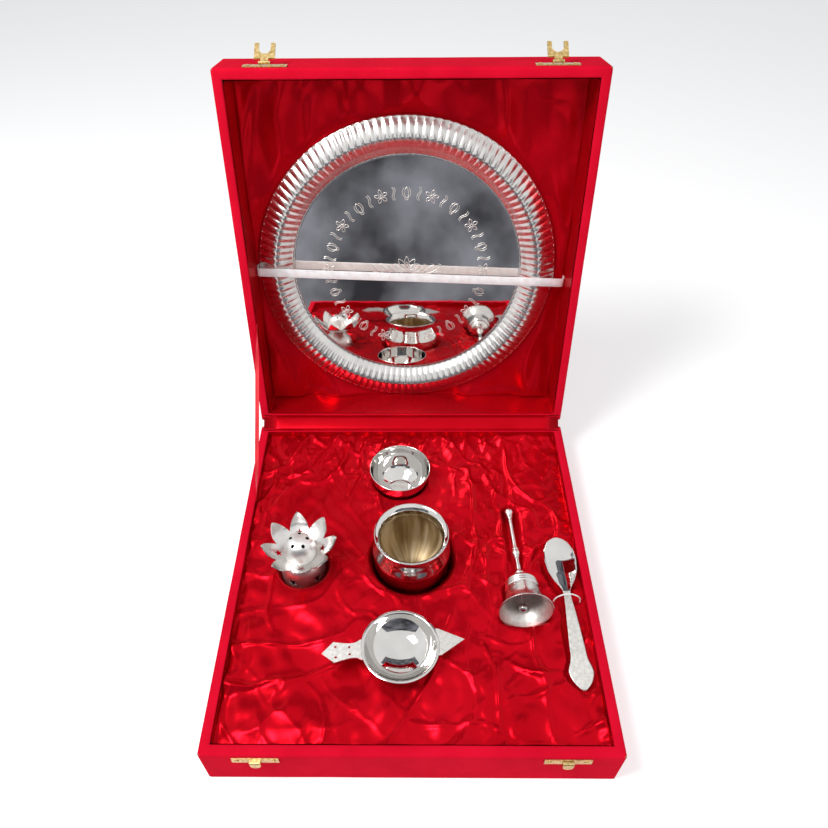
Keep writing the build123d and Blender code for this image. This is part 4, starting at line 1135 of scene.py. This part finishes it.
# %% Lotus in the middle, and the beads
middle = [petal(11, 4.2, turn, 1.5) for turn in (90, 55, 125, 25, 155)] + [petal(5, 2.2, 90, 2.5)]
for side in (-1, 1):
    for reach_x, rise_y in ((14, 1.5), (21, 3.0), (27, 1.0)):
        scroll = [(reach_x - 6, -2.5), (reach_x, rise_y), (reach_x + 3, 4.5), (reach_x + 1, 5.6)]
        middle.append([(side * x, y, LEVEL) for x, y in smooth_line(scroll, 6)])
    stem = [(4, -3), (16, -3.6), (30, -1.5)]
    middle.append([(side * x, y, LEVEL) for x, y in smooth_line(stem, 8)])
made = through(tube, drawn(middle), Radius=STROKE, Sides=6, Material=silver_matte)
ornament.append(as_piece("thali_lotus", made, PLATE))
bead = bpy.data.meshes.new("bead")
BEAD_R = 1.15
bead_points, bead_faces, _, _ = spin([(BEAD_R * sin(a), -BEAD_R * cos(a)) for a in np.linspace(0, pi, 7)], 10)
bead.from_pydata([tuple(np.array(p) * MM) for p in bead_points], [], bead_faces)
made = through(ring, bead, Count=FLUTES, Radius=(thali_r - 1.6) * MM, First=tau / FLUTES / 2, Material=silver)
ornament.append(as_piece("thali_beads", made, PLATE @ Matrix.Translation((0, 0, 2.5 * MM))))
for piece in ornament:
    settle(piece, "thali", "silver_matte" if piece.name != "thali_beads" else "silver_plate")

# %% [markdown]
# ## Elastic band
#
# The band is stretched between the lid's side walls over the thali's ridge, so it runs straight, at a
# slight lean. A strap can be drawn as one section carried along a line of points. A curve with a bevel
# would do as well, but here the width may also turn on the way, which the ribbon needs.

# %% Strap helper


def strap(name, spine, width, thick, across, material, place=Matrix()):
    """Flat strap along a spine of points in mm; across is the direction of its width at each point."""
    spine = np.array(spine, float)
    along = np.gradient(spine, axis=0)
    along /= np.linalg.norm(along, axis=1)[:, None]
    sideways = np.broadcast_to(np.array(across, float), spine.shape)
    sideways = sideways - along * (sideways * along).sum(1)[:, None]
    sideways /= np.linalg.norm(sideways, axis=1)[:, None]
    out = np.cross(sideways, along)
    section = [(-0.5, 0.5), (-0.25, 0.62), (0, 0.66), (0.25, 0.62), (0.5, 0.5), (0.56, 0)]
    section += [(0.5, -0.5), (0, -0.6), (-0.5, -0.5), (-0.56, 0)]
    section = [(a / 1.12, b / 1.32) for a, b in section]
    run = np.concatenate([[0], np.cumsum(np.linalg.norm(np.diff(spine, axis=0), axis=1))])
    count = len(section)
    points = [p + s * a * width + o * b * thick for p, s, o in zip(spine, sideways, out) for a, b in section]
    faces, uv = ring_faces(len(spine), count), []
    for i in range(len(spine) - 1):
        for j in range(count):
            here, there = (section[k % count][0] * width for k in (j, j + 1))
            uv += [(run[i], here), (run[i], there), (run[i + 1], there), (run[i + 1], here)]
    for end in (range(count - 1, -1, -1), range((len(spine) - 1) * count, len(spine) * count)):
        faces.append(list(end))
        uv += [(0, 0)] * count
    return make_piece(name, points, faces, [material], place, np.array(uv) * MM)


# %% Elastic band
band_low, band_high = box_in("elastic_band", LID)
BAND_TILT = radians(-2.3)
BAND_AT = Matrix.Translation(((band_low.x + band_high.x) / 2, (band_low.y + band_high.y) / 2, 0))
BAND = LID @ BAND_AT @ Matrix.Rotation(BAND_TILT, 4, "Z")
band_half, band_top, band_foot = HALF_W - 0.75, band_high.z / MM - 0.35, band_low.z / MM
band_bend = [(0, band_foot + 0.2), (0, band_top - 4), (0.6, band_top - 1.2), (3, band_top)]
band_line = [(-band_half + x, 0, z) for x, z in band_bend]
band_line += [(x, 0, band_top) for x in np.linspace(-band_half + 12, band_half - 12, 24)]
band_line += [(band_half - x, 0, z) for x, z in reversed(band_bend)]
band = strap("elastic", smooth_line(band_line, 3), 7.9, 0.6, (0, 1, 0), elastic_white, BAND)
settle(band, "lid", "elastic", "elastic_band")

# %% [markdown]
# ## Ribbon stay and hinge strip
#
# The ribbon stay hangs between lid and base and stops the lid; the strip covers the crease at the hinge.

# %% Ribbon stay
ribbon_low, ribbon_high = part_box("ribbon_stay")
ribbon_x = (ribbon_low.x + ribbon_high.x) / 2 / MM
ribbon_ends = np.array([
    (ribbon_x, ribbon_low.y / MM + 2, ribbon_low.z / MM + 2),
    (ribbon_x, ribbon_high.y / MM - 2, ribbon_high.z / MM - 2),
])
ribbon_span = ribbon_ends[1] - ribbon_ends[0]
ribbon_run = np.linspace(0, 1, 40)
ribbon_sag = [np.array([0.25 * sin(pi * t), 0, -1.2 * sin(pi * t)]) for t in ribbon_run]
ribbon_spine = [ribbon_ends[0] + ribbon_span * t + sag for t, sag in zip(ribbon_run, ribbon_sag)]
twist = [radians(75) * min(1, 4 * t, 4 * (1 - t)) for t in ribbon_run]
ribbon_across = [(sin(a), -0.68 * cos(a), 0.73 * cos(a)) for a in twist]
ribbon = strap("ribbon", ribbon_spine, 3.9, 0.4, ribbon_across, ribbon_red)
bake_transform(ribbon)
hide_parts("ribbon_stay")
print("Ribbon", round(float(np.linalg.norm(ribbon_span)), 1), "mm from end to end")

# %% Hinge strip
strip_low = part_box("hinge_lining_strip")[0]
leg = [Vector((0, y, BASE_H + 0.28)) for y in (strip_low.y / MM + 0.2, OUT_D - 6, OUT_D - 3.6)]
leg_up = [LID @ (Vector((0, -p.y, lid_high.z / MM + 0.28)) * MM) / MM for p in reversed(leg)]
strip_spine = smooth_line([tuple(p) for p in leg + leg_up], 5)
strip = strap("hinge_strip", strip_spine, 2 * OUT_W - 6, 0.36, (1, 0, 0), satin)
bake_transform(strip)
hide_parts("hinge_lining_strip")
print("Hinge strip", 2 * OUT_W - 6, "mm wide")

# %% [markdown]
# ## Bowl, lota and diya
#
# These three are spun. The bowl is sheet of one thickness, so its outline and a wall are enough. The lota
# and the diya have an inside line of their own: the lota has a rolled lip and narrows at the neck, and the
# diya's floor is flat. The lota's inside was never polished, so it takes a second, golden material. The
# diya's handle and spout are stamped plates from the CAD model with a matte finish.

# %% Small bowl
BOWL_WALL = 0.9
bowl = spun_piece("bowl", walled(BOWL_OUTSIDE, BOWL_WALL), [silver], Matrix.Translation(bowl_at))
settle(bowl, "bowl", "silver_plate", "small_bowl")

# %% Lota
lota_lip = [(30.0, 57.7), (29.7, 58.05), (29.1, 58.1)]
lota_throat = smooth_line([(28.3, 57.7), (26.4, 55.9), (25.0, 53.0), (24.5, 50.0)], 8)
lota_well = smooth_line([
    (24.5, 50.0), (26.6, 44.6), (29.8, 38), (30.6, 30), (29.8, 20), (25.6, 9.8), (14.5, 1.6), (0, 0.95),
], 8)
outline = np.vstack([LOTA_OUTSIDE, lota_lip, lota_throat, lota_well[1:]])
neck_row = len(LOTA_OUTSIDE) + len(lota_lip) + len(lota_throat) - 3
lota_pot = spun_piece(
    "lota_pot", outline, [silver, lota_inside], Matrix.Translation(lota_at), inside_from=neck_row
)
settle(lota_pot, "lota", "silver_plate", "lota")

# %% Diya
flange = [(27.2, 17.85), (28.6, 17.85), (28.9, 18.1), (28.9, 18.75), (28.65, 19.0), (27.3, 19.0), (26.8, 18.85)]
DISH_R = 26.5
dish_r = np.linspace(DISH_R, 0, 40)
diya_dish = np.stack([dish_r, 4.0 + dish_r**2 / 114 + 8.3 * (dish_r / DISH_R) ** 5], 1)
outline = np.vstack([DIYA_OUTSIDE[:-3], flange, diya_dish])
diya = spun_piece("diya", outline, [silver], Matrix.Translation(diya_at))
settle(diya, "diya", "silver_plate", "diya_bowl")

# %% [markdown]
# ## Incense stand
#
# A bell-shaped foot carries a lotus cup with eight petals, and a dome with five holes for the sticks sits
# in the cup. Stars are pierced through the foot and through every second petal. The foot and dome are spun,
# the petals are the cup's outline run out to a different length at each angle, and the openings are cut
# with a boolean, like a punch. The punch can leave its own material on the cut: the walls of the stick
# holes are painted near-black, a painted shade for the dark inside of the holes.

# %% Punching helper


def prism(outline, low, high, place=Matrix()):
    """Points and faces of a straight-sided punch, moved by a matrix in mm."""
    count = len(outline)
    points = [tuple(place @ Vector((x, y, z))) for z in (low, high) for x, y in outline]
    faces = [list(range(count - 1, -1, -1)), list(range(count, 2 * count))]
    faces += [(k, (k + 1) % count, count + (k + 1) % count, count + k) for k in range(count)]
    return points, faces


def star(radius):
    """Five-pointed star outline, first point to +X."""
    reach = [(radius if k % 2 == 0 else 0.42 * radius, k * pi / 5) for k in range(10)]
    return [(r * cos(a), r * sin(a)) for r, a in reach]


def punched(name, points, faces, punches, material, place, cut_material=None):
    """Piece with several punches cut out of it; the cut faces may take their own material."""
    body = make_piece(name, points, faces, [material])
    tool_points, tool_faces = [], []
    for some_points, some_faces in punches:
        tool_faces += [[k + len(tool_points) for k in f] for f in some_faces]
        tool_points += some_points
    tool = make_piece("punch", tool_points, tool_faces, [cut_material or material])
    cut = body.modifiers.new("cut", "BOOLEAN")
    cut.operation, cut.object, cut.solver = "DIFFERENCE", tool, "EXACT"
    cut.material_mode = "TRANSFER"
    bpy.context.view_layer.update()
    graph = bpy.context.evaluated_depsgraph_get()
    mesh = bpy.data.meshes.new_from_object(body.evaluated_get(graph), depsgraph=graph)
    for used in (body, tool):
        bpy.data.objects.remove(used)
    mesh.set_sharp_from_angle(angle=radians(42))
    return as_piece(name, mesh, place)


# %% Foot of the stand
STAND = Matrix.Translation(stand_at)
FOOT_H = 28
foot_inside = FOOT_OUTSIDE[::-1] - (0.9, 0.9)
foot_inside[-1] = (17.6, 0)
outline = np.vstack([[(0, 27.1)], foot_inside, FOOT_OUTSIDE, [(4, FOOT_H), (0, FOOT_H)]])
points, faces, _, _ = spin(outline, 120)
sideways = Matrix.Translation((0, 0, 11)) @ Matrix.Rotation(pi / 2, 4, "Y")
punches = [prism(star(4.4), 3, 22, Matrix.Rotation(tau * (k + 0.42) / 5, 4, "Z") @ sideways) for k in range(5)]
stand_foot = punched("stand_foot", points, faces, punches, silver_brushed, STAND)
settle(stand_foot, "incense_stand", "silver_plate", "incense_foot")

# %% Lotus cup
PETALS, PETAL_STEPS, CUP_ROWS = 8, 24, 26
CUP_TURN = radians(8)
cup_line = smooth_line([(0, 0), (7, 0), (13, 2.0), (24, 8.3), (30, 18)], 16)
cup_run = np.concatenate([[0], np.cumsum(np.linalg.norm(np.diff(cup_line, axis=0), axis=1))])
valley = float(np.interp(21.0, cup_line[:, 0], cup_run))
cup_slope = np.gradient(cup_line, axis=0)
cup_slope /= np.linalg.norm(cup_slope, axis=1)[:, None]


def cup_point(turn, share, wall):
    """Spot on the cup at an angle and a share of the way to the rim, wall mm up from its underside."""
    within = (turn / (tau / PETALS) + 0.5) % 1 * 2 - 1
    reach = valley + (cup_run[-1] - valley) * (1 - abs(within) ** 1.3)
    run = reach * share
    r, z = np.interp(run, cup_run, cup_line[:, 0]), np.interp(run, cup_run, cup_line[:, 1])
    dr, dz = np.interp(run, cup_run, cup_slope[:, 0]), np.interp(run, cup_run, cup_slope[:, 1])
    lobe = max(0.0, run / cup_run[-1] - 0.35) * 1.6
    curl = abs(within) ** 1.5
    r, z = r - dz * wall - lobe * curl * 0.9, z + dr * wall + lobe * curl * 0.5
    return (max(r, 0) * cos(turn + CUP_TURN), max(r, 0) * sin(turn + CUP_TURN), z)


count = PETALS * PETAL_STEPS
shares = np.linspace(0, 1, CUP_ROWS + 1)[1:]
points = [(0, 0, 0)]
for wall, order in ((0.05, shares), (0.95, shares[::-1])):
    for share in order:
        points += [cup_point(tau * j / count, share, wall) for j in range(count)]
points.append((0, 0, 0.95))
rows = 2 * CUP_ROWS
faces = [(0, 1 + (j + 1) % count, 1 + j) for j in range(count)]
faces += ring_faces(rows, count, first=1)
last = 1 + (rows - 1) * count
faces += [(len(points) - 1, last + j, last + (j + 1) % count) for j in range(count)]
punches = [
    prism(star(3.4), -3, 22, Matrix.Rotation(CUP_TURN + tau * k / 4, 4, "Z") @ Matrix.Translation((17.6, 0, 0)))
    for k in range(4)
]
CUP = STAND @ Matrix.Translation((0, 0, FOOT_H * MM))
stand_cup = punched("stand_cup", points, faces, punches, silver_soft, CUP)
settle(stand_cup, "incense_stand", "silver_plate", "lotus_cup")

# %% Dome with the stick holes
HOLE_R, HOLE_RING_R = 1.4, 7
dome_outside = smooth_line([(0, 17), (4, 16.75), (8, 15.3), (11, 11.8), (12.7, 6), (13, 0)], 10)
points, faces, _, _ = spin(np.vstack([dome_outside, [(0, 0)]])[::-1], 96)
hole = [(HOLE_R * cos(tau * k / 20), HOLE_R * sin(tau * k / 20)) for k in range(20)]
punches = [
    prism(hole, 4, 22, Matrix.Translation((HOLE_RING_R * cos(a), HOLE_RING_R * sin(a), 0)))
    for a in [radians(90 + 72 * k) for k in range(5)]
]
DOME = CUP @ Matrix.Translation((0, 0, 3.2 * MM))
# The cut walls of the holes take the near-black painted-shade material
stand_dome = punched("stand_dome", points, faces, punches, silver_brushed, DOME, hole_painted_shade)
settle(stand_dome, "incense_stand", "silver_plate", "incense_dome")

# %% [markdown]
# ## Bell
#
# The bell lies on its side with the mouth to the front. It is spun like the bowls and laid down with the
# matrix that follows from the clapper's joint. The handle is a turned rod with a collar, a bead and a knob.

# %% Bell
BELL_H = 34
BEADING = [(-0.1, 1.0), (0.45, 0.6), (0.6, 0), (0.45, -0.6), (-0.05, -1.0)]
bell_crown = smooth_line([(4.4, BELL_H), (9, 31.6), (12, 27)], 6)
bell_rings = []
for k in range(3):
    level = 27 - 2.4 * k
    base_r = float(np.interp(level, [11.3, 27], [14.5, 12]))
    bell_rings += [(base_r + out, level + over) for out, over in BEADING]
bell_skirt = smooth_line([(13.0, 20.0), (14.5, 11.3), (17.4, 4.6), (20.4, 0.6)], 10)
bell_lip = [(21.2, 0.15), (21.45, 0.7), (21.2, 0.1), (20.5, 0.05)]
inner_line = smooth_line([(19.6, 0.7), (16.3, 5.0), (13.3, 11.6), (11.0, 26.0), (8.0, 30.6), (4.0, 32.7)], 8)
bell_line = np.vstack([
    [(0, BELL_H)], bell_crown, bell_rings, bell_skirt, bell_lip, inner_line, [(0, 32.75)],
])
bell_rows = len(bell_line) - len(inner_line) - 2
bell = spun_piece("bell_dome", bell_line, [silver_soft, silver_matte], BELL, inside_from=bell_rows)
bell.data.flip_normals()
settle(bell, "bell", "silver_plate", "bell_body")

# %% Bell handle
handle_turned = smooth_line([
    (4.4, 0), (4.4, 1.4), (3.2, 2.2), (3.9, 3.2), (3.4, 4.4), (2.2, 6.0), (2.0, 10), (1.7, 16), (2.0, 20.4),
    (2.9, 21.4), (2.2, 22.3), (3.3, 24.0), (3.4, 25.3), (3.3, 26.6), (2.2, 28.3), (2.9, 29.2), (2.0, 30.2),
    (1.8, 36), (1.65, 48), (1.7, 60), (1.9, 65.4), (2.9, 66.3), (2.9, 67.2), (2.1, 68.0),
    (2.6, 69.0), (3.8, 71.0), (4.0, 72.4), (3.6, 74.2), (2.2, 75.6),
], 3)
handle_line = np.maximum(np.vstack([[(0, 0)], handle_turned, [(0, 76)]]), 0)
grip = spun_piece("bell_grip", handle_line, [silver_soft], BELL @ Matrix.Translation((0, 0, BELL_H * MM)), 40)
settle(grip, "bell", "silver_plate", "bell_handle")

# %% [markdown]
# ## Spoon
#
# The spoon is one loft: at each place along its length it has a half width, a height and a dish depth. The
# bowl is a mirror, the handle is stamped and matte, so the faces take one of two materials by where they
# lie.

# %% Spoon
SPOON_NECK = -26
spoon_t = np.concatenate([np.linspace(25, 20, 9), np.linspace(19, SPOON_NECK, 40), np.linspace(-28, -104.3, 60)])
levels = np.interp(spoon_t, [-104.3, -80, -45, -26, 25], [1.7, 4.6, 7.0, 6.9, 6.9])
dish = np.interp(spoon_t, [-104, -27, -20, -8, 4, 14, 22, 25], [0, 0, 0.9, 2.7, 3.3, 2.7, 0.9, 0])
belly = 1.6 * dish
widths = np.array([max(spoon_half(t), 0.25) for t in spoon_t])
for _ in range(2):
    widths[1:-1] = 0.5 * widths[1:-1] + 0.25 * (widths[:-2] + widths[2:])
across = np.linspace(-1, 1, 21)
points = []
for t, level, deep, low_by, half in zip(spoon_t, levels, dish, belly, widths):
    thick = 1.1 if t > SPOON_NECK else 1.4
    top = [(half * s, t, level - deep * (1 - s * s)) for s in across]
    low = [
        (0.97 * half * s, t, max(level - low_by * (1 - s * s) - thick * (1 - 0.75 * abs(s) ** 6), 0.05))
        for s in across[::-1]
    ]
    points += top + low
count = 2 * len(across)
faces = ring_faces(len(spoon_t), count)
by_face = [int(t < -25) for t in spoon_t[:-1] for _ in range(count)]
faces += [list(range(count - 1, -1, -1)), list(range((len(spoon_t) - 1) * count, len(spoon_t) * count))]
by_face += [0, 1]
faces = [f[::-1] for f in faces]
spoon = make_piece("spoon_mirror", points, faces, [silver, silver_matte], SPOON, None, by_face)
settle(spoon, "spoon", "silver_plate", "spoon")

# %% [markdown]
# A round elastic cord holds the spoon down. It is one drawn line, thickened by `tube`.

# %% Spoon tie
tie_low, tie_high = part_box("spoon_tie")
tie_mid, tie_span = (tie_low + tie_high) / 2 / MM, (tie_high.x - tie_low.x) / 2 / MM - 0.8
tie_line = [
    (tie_mid.x + tie_span * cos(a), tie_mid.y + 0.1 * sin(5 * a), tie_low.z / MM + 0.2 + 12.2 * sin(a) ** 0.9)
    for a in np.linspace(0, pi, 40)
]
made = through(tube, drawn([tie_line]), Radius=0.55 * MM, Sides=10, Material=elastic_white)
settle(as_piece("tie", made), "base", "elastic", "spoon_tie")

# %% [markdown]
# ## Metal straight from the CAD model
#
# Hinges, catches, latches, their nails, the diya's plates, the clapper and the hidden boards are already
# right in shape. They need a finish and soft shading. The stamped ones also get a tiny bevel, because a
# real edge is never razor sharp and the bevel catches light.

# %% Finishes on CAD pieces
FINISH = {
    brass: ("brass", ["hinge_", "catch_", "latch_"]),
    silver: ("silver_plate", ["incense_", "clapper_staple", "bell_clapper"]),
    silver_matte: ("silver_matte", ["diya_handle", "diya_spout"]),
    board: ("board", ["_wall", "_board"]),
}
for name, piece in nodes.items():
    if piece.hide_render:
        continue
    for material, (slot, marks) in FINISH.items():
        if any(mark in name for mark in marks) and name != "hinge_lining_strip":
            piece.data.materials.clear()
            piece.data.materials.append(material)
            piece.data.polygons.foreach_set("use_smooth", [True] * len(piece.data.polygons))
            if material in (brass, silver_matte):
                edge = piece.modifiers.new("edge", "BEVEL")
                edge.width, edge.segments, edge.limit_method = 0.00018, 2, "ANGLE"
print("CAD pieces with a finish:", sum(1 for p in nodes.values() if not p.hide_render))
